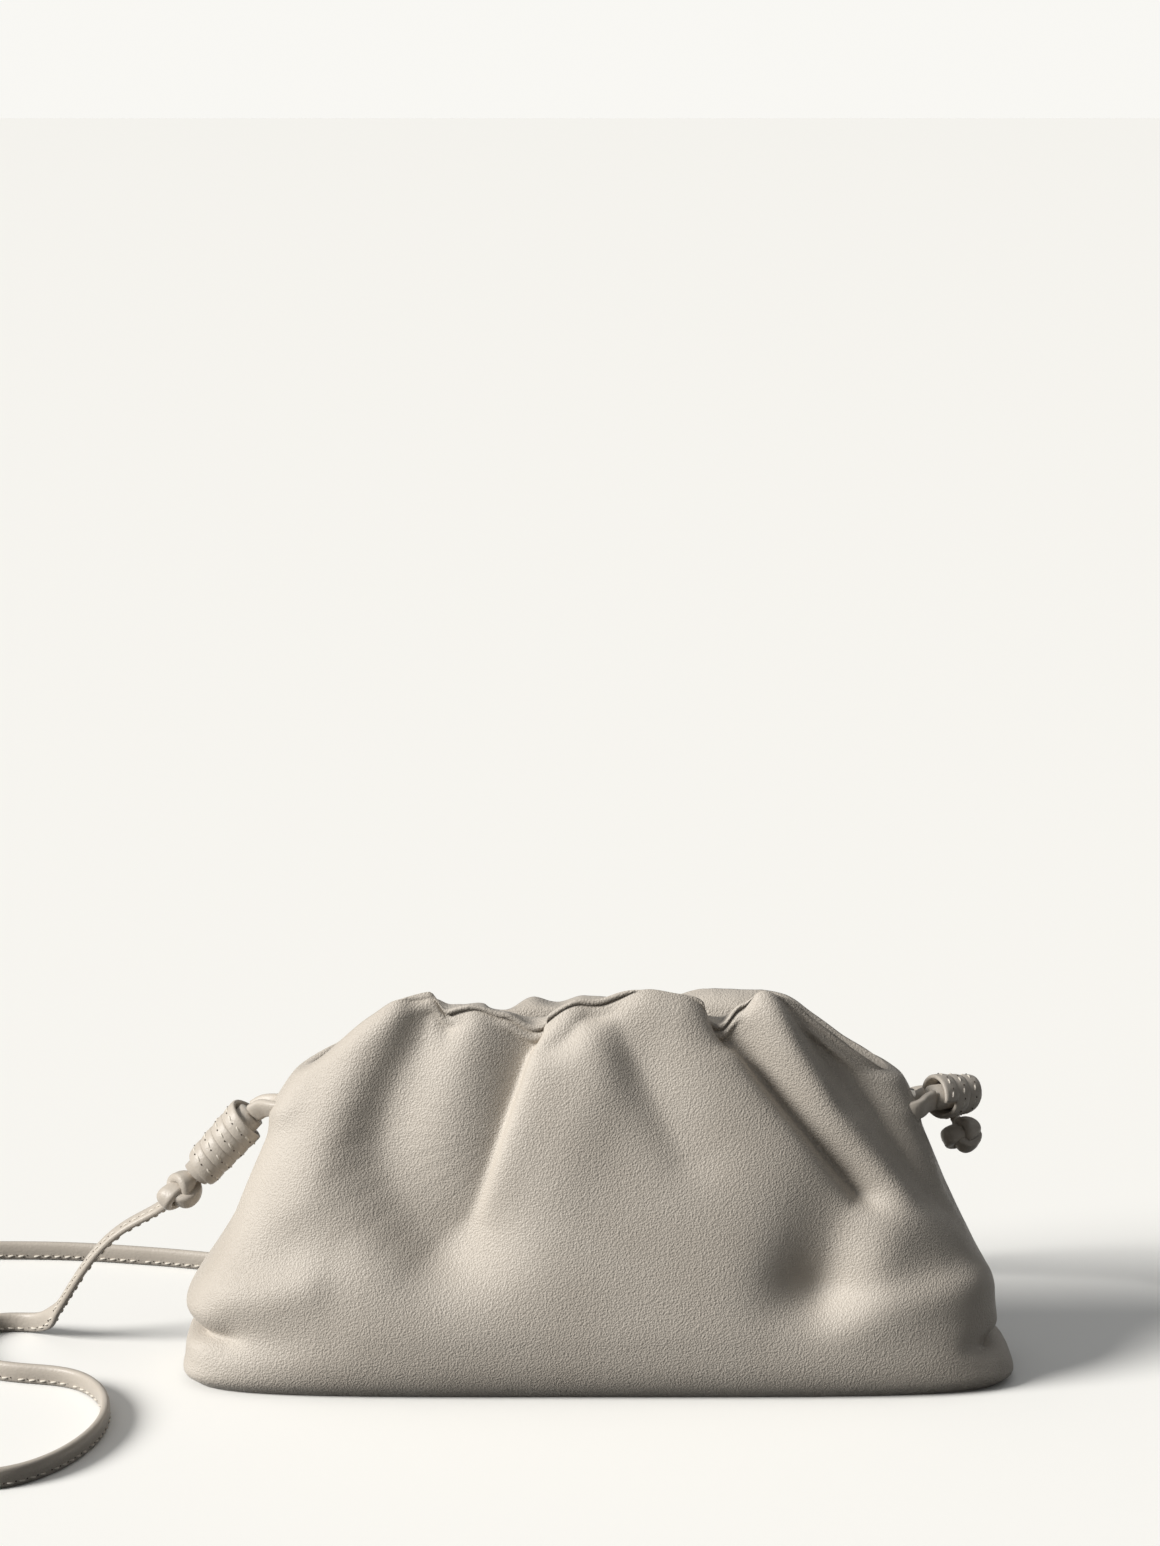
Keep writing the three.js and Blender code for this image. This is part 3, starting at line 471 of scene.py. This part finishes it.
def strap():
    """The thin shoulder strap, standing on its stitched edge where it lies on the ground."""
    first = knot_exit("strap_knot_left", STRAP_ROUTE[0])
    last = knot_exit("strap_knot_right", STRAP_ROUTE[-1])
    line = eased(smooth_line([first, *STRAP_ROUTE, last], STRAP_STEP), BEND_PASSES)
    line[:, 2] = np.maximum(line[:, 2], LYING)
    ways = line_ways(line)
    twist = TWIST_SHARE * step_between(line[:, 2:], LYING + TWIST_LOW, LYING + TWIST_HIGH)
    widths = UP * (1 - twist) + BACKWARD * twist
    widths = unit(widths - ways * (widths * ways).sum(axis=1, keepdims=True))
    outs = np.cross(ways, widths)
    builder = Builder()
    sweep(builder, line, widths, outs, band_outline(STRAP_WIDTH, STRAP_THICKNESS))
    for side in (1, -1):
        face = STRAP_THICKNESS * STITCH_SEAT
        add_stitches(builder, line, ways, widths, outs * side, STITCH_INSET, face)
    return builder.make("shoulder_strap", STRAP_MATERIALS), first, line


strap_piece, strap_start, strap_line = strap()

# Form of the body: the same sections as its solid has. up is a share of the local top and runs on past
# 1 where the leather rolls down inside. Widths and depths are shares of half the size.
SECTION_COLUMNS = ("up", "width", "depth", "drop", "square")
SECTIONS = np.array([
    (0.0, 0.972, 0.80, 0, 4.6),
    (0.03, 1.003, 0.90, 0, 4.4),
    (0.08, 1.0, 0.97, 0, 4.0),
    (0.15, 0.994, 1.0, 0, 3.6),
    (0.2, 0.986, 1.0, 0, 3.4),
    (0.3, 0.955, 0.97, 0, 3.1),
    (0.4, 0.917, 0.92, 0, 2.9),
    (0.5, 0.882, 0.86, 0, 2.8),
    (0.65, 0.838, 0.765, 0, 2.6),
    (0.8, 0.787, 0.68, 0, 2.5),
    (0.9, 0.744, 0.61, 0, 2.5),
    (0.96, 0.715, 0.54, 0, 2.5),
    (1.0, 0.69, 0.42, 0.02, 2.5),
    (1.035, 0.655, 0.28, 0.17, 2.5),
    (1.075, 0.633, 0.17, 0.52, 2.5),
    (1.12, 0.625, MOUTH / DEPTH, 1, 2.6),
])
ARCH_START = 0.5
ARCH_POWER = 1.9

# Columns round a quarter of the body, evenly spaced along its fullest section, which is one of the rows
QUARTER_COLUMNS = 108
FINE_STEPS = 6001
FULLEST_ROW = 1

# Heights of the rings, as shares like up
BASE_UPS = (0.0, 0.006, 0.014, 0.024)
SIDE_FROM = 0.035
SIDE_TO = 0.985
SIDE_RINGS = 132
ROLL_FROM = 0.99
ROLL_TO = 1.12
ROLL_RINGS = 26

# The inside has few of the outside's rings up its side: from INNER_FROM rings after the side's first one
# to INNER_TO rings before the roll's first one. Its floor follows the lowest ring, and over the roll it
# has every ring from INNER_ROLL_START on.
INNER_RINGS = 14
INNER_FROM = 4
INNER_TO = 12
INNER_ROLL_START = 1.03

# Heights as shares like up: where the folds have their full depth above the base, the place on the roll
# that they must not meet, from where to where their limit passes from the bag's middle to that roll and
# then down to TOP_FOLD, and where the wavy top begins
FOLDS_FULL = 0.03
ROLL_BEHIND = 1.075
LIPS_FROM = 0.66
LIPS_FULL = 0.82
SHALLOW_FROM = 0.86
SHALLOW_FULL = 0.99
LIFT_FROM = 0.84

# How fast a sharp fold fades from its bottom, how round that bottom is, how suddenly a fold stops at its
# limit, the strip of both ends in which front and back share their folds, as a share of the depth, and
# the least that the leather counts as facing front or back
CUSP_FALL = 1.7
CUSP_ROUND = 0.1
PRESS_POWER = 4
END_STRIP = 0.13
LEAST_FACING = 1e-3

# Gathers, dents and soft ridges: a line by three points (x as a share of half the width, u as up in the
# sections), the depth at both ends as shares of FOLD (below zero for a ridge), the width to its left and
# right as shares of the height, how sharp its bottom is, and how far the leather on its right (or left,
# below zero) leans over it as a share of FOLD. The front and the back both have the folds of the ends.
FOLD_COLUMNS = ("x0", "u0", "x1", "u1", "x2", "u2", "deep0", "deep2", "left", "right", "sharp", "lean")
END_FOLDS = [
    (-0.74, 0.97, -0.75, 0.93, -0.77, 0.86, -0.34, -0.3, 0.06, 0.06, 0.0, 0.0),
    (0.74, 0.96, 0.75, 0.93, 0.77, 0.88, -0.3, -0.2, 0.05, 0.05, 0.0, 0.0),
    (-0.89, 0.52, -0.94, 0.40, -0.985, 0.26, -0.03, -0.32, 0.09, 0.09, 0.0, 0.0),
    (1.0, 0.30, 1.0, 0.24, 0.98, 0.17, 0.15, 0.3, 0.09, 0.09, 0.0, 0.0),
    (-1.02, 0.185, -0.97, 0.18, -0.88, 0.16, 0.95, 0.1, 0.03, 0.03, 0.5, 0.0),
    (1.02, 0.145, 0.97, 0.14, 0.90, 0.14, 0.95, 0.1, 0.03, 0.03, 0.5, 0.0),
]
FRONT_FOLDS = [
    (-0.28, 1.08, -0.68, 0.68, -0.38, 0.41, 0.35, 0.9, 0.115, 0.17, 0.0, 0.0),
    (-0.375, 1.08, -0.40, 1.0, -0.43, 0.90, 0.7, 0.15, 0.06, 0.06, 0.2, 0.0),
    (-0.10, 1.10, -0.19, 0.80, -0.31, 0.46, 1.15, 0.2, 0.10, 0.045, 0.6, 0.4),
    (0.02, 1.00, 0.06, 0.90, 0.20, 0.62, 0.55, 0.15, 0.055, 0.10, 0.15, 0.0),
    (0.21, 1.10, 0.31, 0.84, 0.63, 0.54, 1.05, 0.65, 0.04, 0.08, 0.6, -0.4),
    (0.60, 0.575, 0.55, 0.45, 0.525, 0.30, 0.2, 0.65, 0.13, 0.09, 0.05, 0.0),
    (0.0, 1.0, -0.04, 0.95, -0.10, 0.88, 0.4, 0.15, 0.035, 0.035, 0.3, 0.0),
    (0.44, 1.10, 0.55, 0.88, 0.80, 0.60, 0.85, 0.35, 0.065, 0.12, 0.2, 0.15),
    (0.53, 1.02, 0.58, 0.90, 0.60, 0.78, 0.35, 0.1, 0.04, 0.04, 0.2, 0.0),
    (0.58, 1.08, 0.68, 0.80, 0.87, 0.54, 0.5, 0.15, 0.055, 0.055, 0.25, 0.0),
    (0.53, 0.28, 0.66, 0.32, 0.82, 0.37, 0.25, 0.1, 0.06, 0.10, 0.0, 0.0),
    (-0.72, 0.41, -0.68, 0.40, -0.64, 0.39, 0.12, 0.12, 0.09, 0.09, 0.0, 0.0),
    (-0.70, 0.30, -0.78, 0.28, -0.86, 0.28, -0.13, -0.15, 0.06, 0.06, 0.0, 0.0),
    (-0.88, 0.17, -0.80, 0.15, -0.66, 0.16, 0.25, 0.05, 0.06, 0.06, 0.0, 0.0),
    (-0.45, 1.02, -0.59, 0.81, -0.71, 0.54, -0.25, -0.1, 0.10, 0.07, 0.0, 0.0),
    (-0.28, 1.0, -0.34, 0.85, -0.40, 0.68, -0.15, -0.05, 0.07, 0.07, 0.0, 0.0),
    (0.09, 1.02, 0.0, 0.85, -0.09, 0.55, -0.2, -0.05, 0.08, 0.08, 0.0, 0.0),
    (0.41, 1.0, 0.52, 0.78, 0.68, 0.57, -0.2, -0.05, 0.06, 0.07, 0.0, 0.0),
    (0.71, 0.53, 0.71, 0.45, 0.67, 0.37, 0.0, -0.14, 0.07, 0.08, 0.0, 0.0),
    (0.48, 0.20, 0.66, 0.235, 0.95, 0.34, -0.05, -0.18, 0.07, 0.06, 0.0, 0.0),
]
BACK_FOLDS = [
    (-0.5, 1.1, -0.58, 0.87, -0.7, 0.55, 0.85, 0.25, 0.07, 0.07, 0.2, 0.0),
    (-0.23, 1.1, -0.3, 0.85, -0.42, 0.5, 1.0, 0.3, 0.05, 0.09, 0.4, -0.25),
    (-0.13, 1.1, -0.12, 0.9, -0.1, 0.66, 0.8, 0.2, 0.05, 0.05, 0.3, 0.0),
    (-0.03, 1.1, -0.02, 0.9, 0.0, 0.76, 0.7, 0.2, 0.05, 0.05, 0.3, 0.0),
    (0.12, 1.1, 0.17, 0.82, 0.28, 0.45, 1.0, 0.35, 0.09, 0.05, 0.4, 0.25),
    (0.33, 1.1, 0.4, 0.86, 0.5, 0.6, 0.8, 0.3, 0.065, 0.075, 0.2, 0.0),
    (0.54, 1.08, 0.62, 0.88, 0.76, 0.6, 0.65, 0.25, 0.055, 0.06, 0.2, 0.0),
    (-0.5, 0.3, -0.62, 0.33, -0.76, 0.4, 0.35, 0.25, 0.09, 0.08, 0.0, 0.0),
    (0.4, 0.34, 0.52, 0.3, 0.66, 0.34, 0.35, 0.3, 0.1, 0.09, 0.0, 0.0),
]
FOLD_STEPS = 12

# How far the gathers stand over the smooth top, from left to right: x, then the front's and the back's
TOP_LIFT = np.array([
    (-80, 0, 0), (-62, 1.0, -3), (-53, 3.0, -4.5), (-46.5, 3.3, -5.5), (-41.5, -2.2, -8),
    (-35, -1.3, -6.8), (-26, -3.2, -8.4), (-18, -6.2, -4.8), (-11, -4.0, -6.4), (-4, 0.6, -4.5),
    (9, 2.8, -6), (21, 1.2, -5), (33, -6.3, -2.8), (38.5, -1.2, -2.5), (44, 1.8, -2.2),
    (52, 2.3, -2), (60, 0.4, -3.2), (67, 0, -3), (80, 0, 0),
])


def section(column, up):
    """One column of the sections at any height, on a smooth curve through its rows."""
    ups, values = SECTIONS[:, 0], SECTIONS[:, SECTION_COLUMNS.index(column)]
    slopes = np.empty_like(values)
    slopes[1:-1] = (values[2:] - values[:-2]) / (ups[2:] - ups[:-2])
    slopes[0] = (values[1] - values[0]) / (ups[1] - ups[0])
    slopes[-1] = (values[-1] - values[-2]) / (ups[-1] - ups[-2])
    row = np.clip(np.searchsorted(ups, up, side="right") - 1, 0, len(ups) - 2)
    span = ups[row + 1] - ups[row]
    t = (up - ups[row]) / span
    rise = 3 * t ** 2 - 2 * t ** 3
    leave = t * (1 - t) ** 2 * span * slopes[row]
    arrive = t ** 2 * (t - 1) * span * slopes[row + 1]
    return values[row] * (1 - rise) + values[row + 1] * rise + leave + arrive


def column_places():
    """Shares and sides of the columns round a section, evenly spaced along the fullest one."""
    angle = np.linspace(0, np.pi / 2, FINE_STEPS)
    power = 2 / SECTIONS[FULLEST_ROW, SECTION_COLUMNS.index("square")]
    share, bow = np.cos(angle) ** power, np.sin(angle) ** power
    share[-1] = 0
    lengths = np.concatenate([[0], np.cumsum(np.hypot(np.diff(share * WIDTH), np.diff(bow * DEPTH)))])
    quarter = np.interp(np.linspace(0, lengths[-1], QUARTER_COLUMNS + 1), lengths, share)
    shares = np.concatenate([quarter[:-1], -quarter[:0:-1], -quarter[:-1], quarter[:0:-1]])
    sides = np.repeat([1.0, -1.0], 2 * QUARTER_COLUMNS)
    return shares, sides


def form_points(share, side, up):
    """Points of the smooth form, for a grid of rings by columns."""
    square = section("square", up)[:, None]
    x = share[None] * (section("width", up) * WIDTH / 2)[:, None]
    bow = np.maximum(0, 1 - np.abs(share)[None] ** square) ** (1 / square)
    y = side[None] * bow * (section("depth", up) * DEPTH / 2)[:, None]
    outer = np.maximum(0, (np.abs(share) - ARCH_START) / (1 - ARCH_START))
    top = HEIGHT - (HEIGHT - END_HEIGHT) * outer ** ARCH_POWER
    drop = np.where(up > 1, section("drop", up) * LIP_DROP, 0)
    z = np.minimum(up, 1)[:, None] * top[None] - drop[:, None]
    return np.stack([x, y, z], axis=2)


def near_fold(fold, x, z):
    """Distance to a fold's line, the place along it, and the side of it, for every point."""
    t = np.linspace(0, 1, FOLD_STEPS + 1)
    weights = ((1 - t) ** 2, 2 * t * (1 - t), t ** 2)
    line_x = sum(w * fold[name] for w, name in zip(weights, ("x0", "x1", "x2"))) * WIDTH / 2
    line_z = sum(w * fold[name] for w, name in zip(weights, ("u0", "u1", "u2"))) * HEIGHT
    best = np.full(x.shape, np.inf)
    along, turned = np.zeros(x.shape), np.zeros(x.shape)
    for step in range(FOLD_STEPS):
        way_x, way_z = line_x[step + 1] - line_x[step], line_z[step + 1] - line_z[step]
        share = ((x - line_x[step]) * way_x + (z - line_z[step]) * way_z) / (way_x ** 2 + way_z ** 2)
        share = np.clip(share, 0, 1)
        off_x, off_z = x - line_x[step] - share * way_x, z - line_z[step] - share * way_z
        distance = np.hypot(off_x, off_z)
        closer = distance < best
        best = np.where(closer, distance, best)
        along = np.where(closer, (step + share) / FOLD_STEPS, along)
        reach = np.maximum(distance * np.hypot(way_x, way_z), TINY_AREA)
        turned = np.where(closer, (off_x * way_z - off_z * way_x) / reach, turned)
    return best, along, turned


def fold_relief(folds, x, up):
    """How far the folds of one face move the leather out, and how far sideways."""
    out, sideways = np.zeros(x.shape), np.zeros(x.shape)
    for row in folds:
        fold = dict(zip(FOLD_COLUMNS, row))
        distance, along, turned = near_fold(fold, x, up * HEIGHT)
        leftward = step_between(turned, -1, 1)
        width = (fold["right"] + (fold["left"] - fold["right"]) * leftward) * HEIGHT
        ratio = distance / width
        soft = np.exp(-ratio ** 2)
        cusp = np.exp(-CUSP_FALL * (np.sqrt(ratio ** 2 + CUSP_ROUND ** 2) - CUSP_ROUND))
        depth = (fold["deep0"] + (fold["deep2"] - fold["deep0"]) * along) * FOLD
        out -= depth * (soft * (1 - fold["sharp"]) + cusp * fold["sharp"])
        leaning = min(fold["lean"], 0) * leftward + max(fold["lean"], 0) * (1 - leftward)
        fade = (1 - along) ** 0.5
        sideways -= leaning * FOLD * fade * ratio ** 2 * np.exp(1 - ratio ** 2)
    return out, sideways


def fold_limit(points, normals, up):
    """How far the leather can move in before it meets the other face, or the roll behind it."""
    rolls = points[np.argmin(np.abs(up - ROLL_BEHIND))]
    flat = normals.copy()
    flat[..., 2] = 0
    to_roll = ((points - rolls) * unit(flat)).sum(axis=2) - 2 * WALL - FOLD_ROOM
    to_middle = np.maximum(FOLD_ROOM, np.abs(points[..., 1]) - WALL - FOLD_ROOM)
    to_middle = to_middle / np.maximum(np.abs(normals[..., 1]), LEAST_FACING)
    lips = step_between(up, LIPS_FROM, LIPS_FULL)[:, None]
    room = np.minimum(to_middle, 2 * FOLD) * (1 - lips) + to_roll * lips
    top = step_between(up, SHALLOW_FROM, SHALLOW_FULL)[:, None]
    return np.maximum(FOLD_ROOM, np.minimum(room, 2 * FOLD + (TOP_FOLD - 2 * FOLD) * top))


def form_normals(points):
    """The way out at each point: half down at the lowest ring, level at the last one."""
    around = np.roll(points, -1, axis=1) - np.roll(points, 1, axis=1)
    rise = np.gradient(points, axis=0)
    normals = np.cross(around, rise)
    flat = unit(np.cross(around[0], np.broadcast_to(UP, around[0].shape)))
    normals[0] = flat - UP
    last = -unit(np.cross(around[-1], np.broadcast_to(UP, around[-1].shape)))
    last[:, 2] = 0
    normals[1:] = unit(normals[1:])
    normals[-1] = unit(last)
    return normals


def top_lift(x, side):
    """How far the gathers of each face stand over the smooth top."""
    places = TOP_LIFT[:, 0]
    row = np.clip(np.searchsorted(places, x, side="right") - 1, 0, len(places) - 2)
    t = step_between(x, places[row], places[row + 1])[..., None]
    lifts = TOP_LIFT[row, 1:] * (1 - t) + TOP_LIFT[row + 1, 1:] * t
    return np.where(side < 0, lifts[..., 0], lifts[..., 1])


def faces_relief(points, side, up):
    """The folds of the front or the back at each point, shared by both in a strip at the two ends."""
    is_front = side[None] < 0
    reach = step_between(np.abs(points[..., 1]), 0, END_STRIP * DEPTH)
    front_out, front_side = fold_relief(FRONT_FOLDS + END_FOLDS, points[..., 0], up)
    back_out, back_side = fold_relief(BACK_FOLDS + END_FOLDS, points[..., 0], up)
    own = np.where(is_front, front_out, back_out)
    out = (front_out + back_out) / 2 * (1 - reach) + own * reach
    return out, np.where(is_front, front_side, back_side) * reach


def outer_wall(share, side, up):
    """The outside of the leather with its folds and its wavy top, and the way out at each point."""
    points = form_points(share, side, up)
    normals = form_normals(points)
    ups = np.broadcast_to(up[:, None], points.shape[:2])
    out, sideways = faces_relief(points, side, ups)
    fade_lips = 1 - step_between(up, 1.0, ROLL_TO)
    fade = (step_between(up, 0, FOLDS_FULL) * fade_lips)[:, None]
    limit = fold_limit(points, normals, up)
    pressed = out / (1 + (np.maximum(-out, 0) / limit) ** PRESS_POWER) ** (1 / PRESS_POWER)
    out = np.where(out > 0, out, pressed) * fade
    outer = points + normals * out[..., None]
    outer[..., 0] += sideways * fade
    notches, _ = faces_relief(points, side, np.ones_like(ups))
    drop = NOTCH_DROP * np.maximum(0, -notches / FOLD)
    lift = top_lift(points[..., 0], side[None])
    outer[..., 2] += (lift - drop) * (step_between(up, LIFT_FROM, 1.0) * fade_lips)[:, None]
    return outer, normals


def body_piece():
    """The soft body: up the outside, over the lips and down the inside, with a flat base."""
    side_ups = np.linspace(SIDE_FROM, SIDE_TO, SIDE_RINGS)
    roll_ups = np.linspace(ROLL_FROM, ROLL_TO, ROLL_RINGS)
    up = np.concatenate([BASE_UPS, side_ups, roll_ups])
    outer, normals = outer_wall(*column_places(), up)
    inner = outer - normals * WALL
    side_start = len(BASE_UPS)
    side_end = side_start + SIDE_RINGS
    kept_sides = np.linspace(side_start + INNER_FROM, side_end - INNER_TO, INNER_RINGS).astype(int)
    keep = [0, *kept_sides, *np.flatnonzero(up >= INNER_ROLL_START)]
    rings = np.concatenate([outer, inner[keep][::-1]])
    count, columns = rings.shape[:2]
    grid = np.arange(count * columns).reshape(count, columns)
    following = np.roll(grid, -1, axis=1)
    faces = np.stack([grid[:-1], following[:-1], following[1:], grid[1:]], axis=-1).reshape(-1, 4).tolist()
    floor = [tuple(grid[0][::-1]), tuple(grid[-1])]
    builder = Builder()
    builder.add(rings.reshape(-1, 3), faces + floor)
    return builder.make("pouch_skin", (LEATHER,))


# The two ends of the strap: the way that a winding runs, its turns, its radius at both ends, how large
# the knot's line is along its three ways, and how far it is turned, in degrees
LEFT_END = {
    "name": "left", "side": -1, "way": (-0.67, 0, -0.74), "turns": 5, "first": 6.5, "last": 5.6,
    "knot_size": (1.15, 1.6, 1.75), "knot_turn": 55,
}
RIGHT_END = {
    "name": "right", "side": 1, "way": (0.78, 0.6, -0.07), "turns": 3.4, "first": 7.0, "last": 5.2,
    "knot_size": (1.1, 1.5, 1.45), "knot_turn": 75,
}

# A winding's step in radians and how much its band falls short of the full turns, the core that fills
# it, with its radius less by a share of the band's thickness, and the steps of loops and knots
WINDING_STEP = 0.16
WINDING_SHORT = 0.98
CORE_RINGS = 3
CORE_SIDES = 24
CORE_INSET = 0.3
CORE_SHARE = 0.8
LEG_POINTS = 4
LOOP_STEP = 0.7
KNOT_STEPS = 140
KNOT_DEPTH = 1.25


def winding_axis(end):
    way = unit(end["way"])
    length = end["turns"] * TURN_PITCH
    start = node_middle("strap_coil_" + end["name"]) - way * length / 2
    return start, way, length


def winding(end):
    """The turns of the strap round its own end: one helical band that overlaps itself."""
    start, way, length = winding_axis(end)
    across = unit(np.cross(way, UP))
    upright = np.cross(across, way)
    band = WINDING_THICKNESS
    angles = np.arange(0, 2 * np.pi * (end["turns"] - WINDING_SHORT), WINDING_STEP)
    along = TURN_PITCH * angles / (2 * np.pi) + TURN_PITCH / 2
    radius = end["first"] + (end["last"] - end["first"]) * along / length - band / 2
    radial = across * np.cos(angles)[:, None] + upright * np.sin(angles)[:, None]
    line = start + way * along[:, None] + radial * radius[:, None]
    ways = line_ways(line)
    tilt = math.radians(WINDING_TILT)
    widths = unit(way * math.cos(tilt) - radial * math.sin(tilt))
    outs = unit(np.cross(ways, widths))
    outs *= np.sign((outs * radial).sum(axis=1))[:, None]
    builder = Builder()
    sweep(builder, line, widths, outs, band_outline(STRAP_WIDTH, band))
    inset = STITCH_INSET + WINDING_STITCH_SHIFT
    add_stitches(builder, line, ways, widths, outs, inset, band * WINDING_STITCH_SEAT)
    core = np.linspace(start + way * CORE_INSET, start + way * (length - CORE_INSET), CORE_RINGS)
    sides = np.linspace(0, 2 * np.pi, CORE_SIDES, endpoint=False)
    round_outline = np.stack([np.cos(sides), np.sin(sides)], axis=1) * (end["last"] - band * CORE_SHARE)
    core_widths, core_outs = np.tile(across, (CORE_RINGS, 1)), np.tile(upright, (CORE_RINGS, 1))
    sweep(builder, core, core_widths, core_outs, round_outline)
    return builder.make("winding_" + end["name"], STRAP_MATERIALS)


def loop(end):
    """The doubled end of the strap, from its winding round the bar of the ring and back."""
    start, way, _ = winding_axis(end)
    ring_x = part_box("clasp_frame")[1 if end["side"] > 0 else 0][0] / MM - end["side"] * RING_BAR / 2
    face = start - way * TURN_GAP
    across = unit(np.cross(way, UP))
    apart = (STRAP_THICKNESS + LEG_GAP) / 2
    bight = RING_BAR * math.sqrt(0.5) + TURN_GAP + STRAP_THICKNESS / 2

    def leg(side):
        out = face + across * side * np.sign(across[1]) * apart
        bar = np.array([ring_x, side * bight, RING_HEIGHT])
        handle = np.linalg.norm(out - bar) / 3
        handles = (out, out - way * handle, bar + np.array([end["side"] * handle, 0, 0]), bar)
        t = np.linspace(0, 1, LEG_POINTS)[:, None]
        weights = ((1 - t) ** 3, 3 * t * (1 - t) ** 2, 3 * t ** 2 * (1 - t), t ** 3)
        return list(sum(weight * point for weight, point in zip(weights, handles)))

    turn = bight * math.sqrt(0.5)
    middle = [(ring_x - end["side"] * turn, -turn, RING_HEIGHT),
              (ring_x - end["side"] * bight, 0, RING_HEIGHT),
              (ring_x - end["side"] * turn, turn, RING_HEIGHT)]
    line = smooth_line([*leg(-1), *middle, *leg(1)[::-1]], LOOP_STEP)
    ways = line_ways(line)
    width = np.cross(across, way)
    widths = []
    for tangent in ways:
        width = unit(width - tangent * np.dot(width, tangent))
        widths.append(width)
    widths = np.array(widths)
    builder = Builder()
    sweep(builder, line, widths, np.cross(ways, widths), band_outline(STRAP_WIDTH, STRAP_THICKNESS))
    return builder.make("loop_" + end["name"], STRAP_MATERIALS)


def knot(end):
    """A tight overhand knot of the strap: a flattened band along a three-lobed knot line."""
    middle = node_middle("strap_knot_" + end["name"])
    t = np.linspace(0, 2 * np.pi, KNOT_STEPS, endpoint=False)
    x = np.sin(t) + 2 * np.sin(2 * t)
    y = -np.sin(3 * t) * KNOT_DEPTH
    z = np.cos(t) - 2 * np.cos(2 * t)
    angle = math.radians(end["knot_turn"])
    cos, sin = math.cos(angle), math.sin(angle)
    spin = np.array([[cos, 0, sin], [0, 1, 0], [-sin, 0, cos]])
    line = (np.stack([x, y, z], axis=1) * np.array(end["knot_size"])) @ spin.T + middle
    ways = unit(np.roll(line, -1, axis=0) - np.roll(line, 1, axis=0))
    outward = unit(line - middle)
    widths = unit(np.cross(ways, outward))
    outs = np.cross(ways, widths)
    outline = band_outline(KNOT_BAND_WIDTH, KNOT_BAND_THICKNESS)
    builder = Builder()
    sweep(builder, line, widths, outs, outline, closed=True)
    return builder.make("knot_" + end["name"], STRAP_MATERIALS)


def floor_piece():
    """The ground, which throws no soft light back up at the bag."""
    far = FLOOR_REACH
    builder = Builder()
    builder.add([(-far, -far, 0), (far, -far, 0), (far, far, 0), (-far, far, 0)], [(0, 1, 2, 3)])
    piece = builder.make("floor", (paper(),))
    piece.visible_diffuse = False


def lights():
    """A soft sun from the front left, a weak sky that is brighter overhead, and the paper behind."""
    sun_data = bpy.data.lights.new("key", "SUN")
    sun_data.energy = SUN_STRENGTH
    sun_data.angle = math.radians(SUN_SPREAD)
    sun_data.color = SUN_COLOUR
    sun = bpy.data.objects.new("key", sun_data)
    sun.rotation_euler = Vector(SUN_WAY).to_track_quat("-Z", "Y").to_euler()
    bpy.context.scene.collection.objects.link(sun)
    world = bpy.data.worlds.new("studio")
    bpy.context.scene.world = world
    world.use_nodes = True
    tree = world.node_tree
    light = tree.nodes["Background"]
    place = tree.nodes.new("ShaderNodeTexCoord")
    height = tree.nodes.new("ShaderNodeSeparateXYZ")
    tree.links.new(place.outputs["Generated"], height.inputs["Vector"])
    strength = tree.nodes.new("ShaderNodeMapRange")
    strength.interpolation_type = "SMOOTHSTEP"
    strength.inputs["From Min"].default_value = 0.1
    strength.inputs["To Min"].default_value = HORIZON_LIGHT
    strength.inputs["To Max"].default_value = ZENITH_LIGHT
    tree.links.new(height.outputs["Z"], strength.inputs["Value"])
    tree.links.new(strength.outputs["Result"], light.inputs["Strength"])
    light.inputs["Color"].default_value = (*SKY_COLOUR, 1)
    seen = tree.nodes.new("ShaderNodeBackground")
    seen.inputs["Color"].default_value = (*PAPER, 1)
    path = tree.nodes.new("ShaderNodeLightPath")
    mix = tree.nodes.new("ShaderNodeMixShader")
    tree.links.new(path.outputs["Is Camera Ray"], mix.inputs["Fac"])
    tree.links.new(light.outputs["Background"], mix.inputs[1])
    tree.links.new(seen.outputs["Background"], mix.inputs[2])
    tree.links.new(mix.outputs["Shader"], tree.nodes["World Output"].inputs["Surface"])
    bpy.context.scene.view_settings.view_transform = "Standard"


def place(piece, slot, *nodes):
    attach(piece, "root")
    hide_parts(*nodes)
    return piece


place(body_piece(), "pouch_leather", "pouch_body")
for end in (LEFT_END, RIGHT_END):
    place(winding(end), "strap_leather", "strap_coil_" + end["name"])
    place(loop(end), "strap_leather", "strap_loop_" + end["name"])
    place(knot(end), "strap_leather", "strap_knot_" + end["name"])
place(strap_piece, "strap_leather", "strap")

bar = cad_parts["clasp_frame"]
bar.data.materials.clear()
bar.data.materials.append(hidden_metal())

floor_piece()
lights()
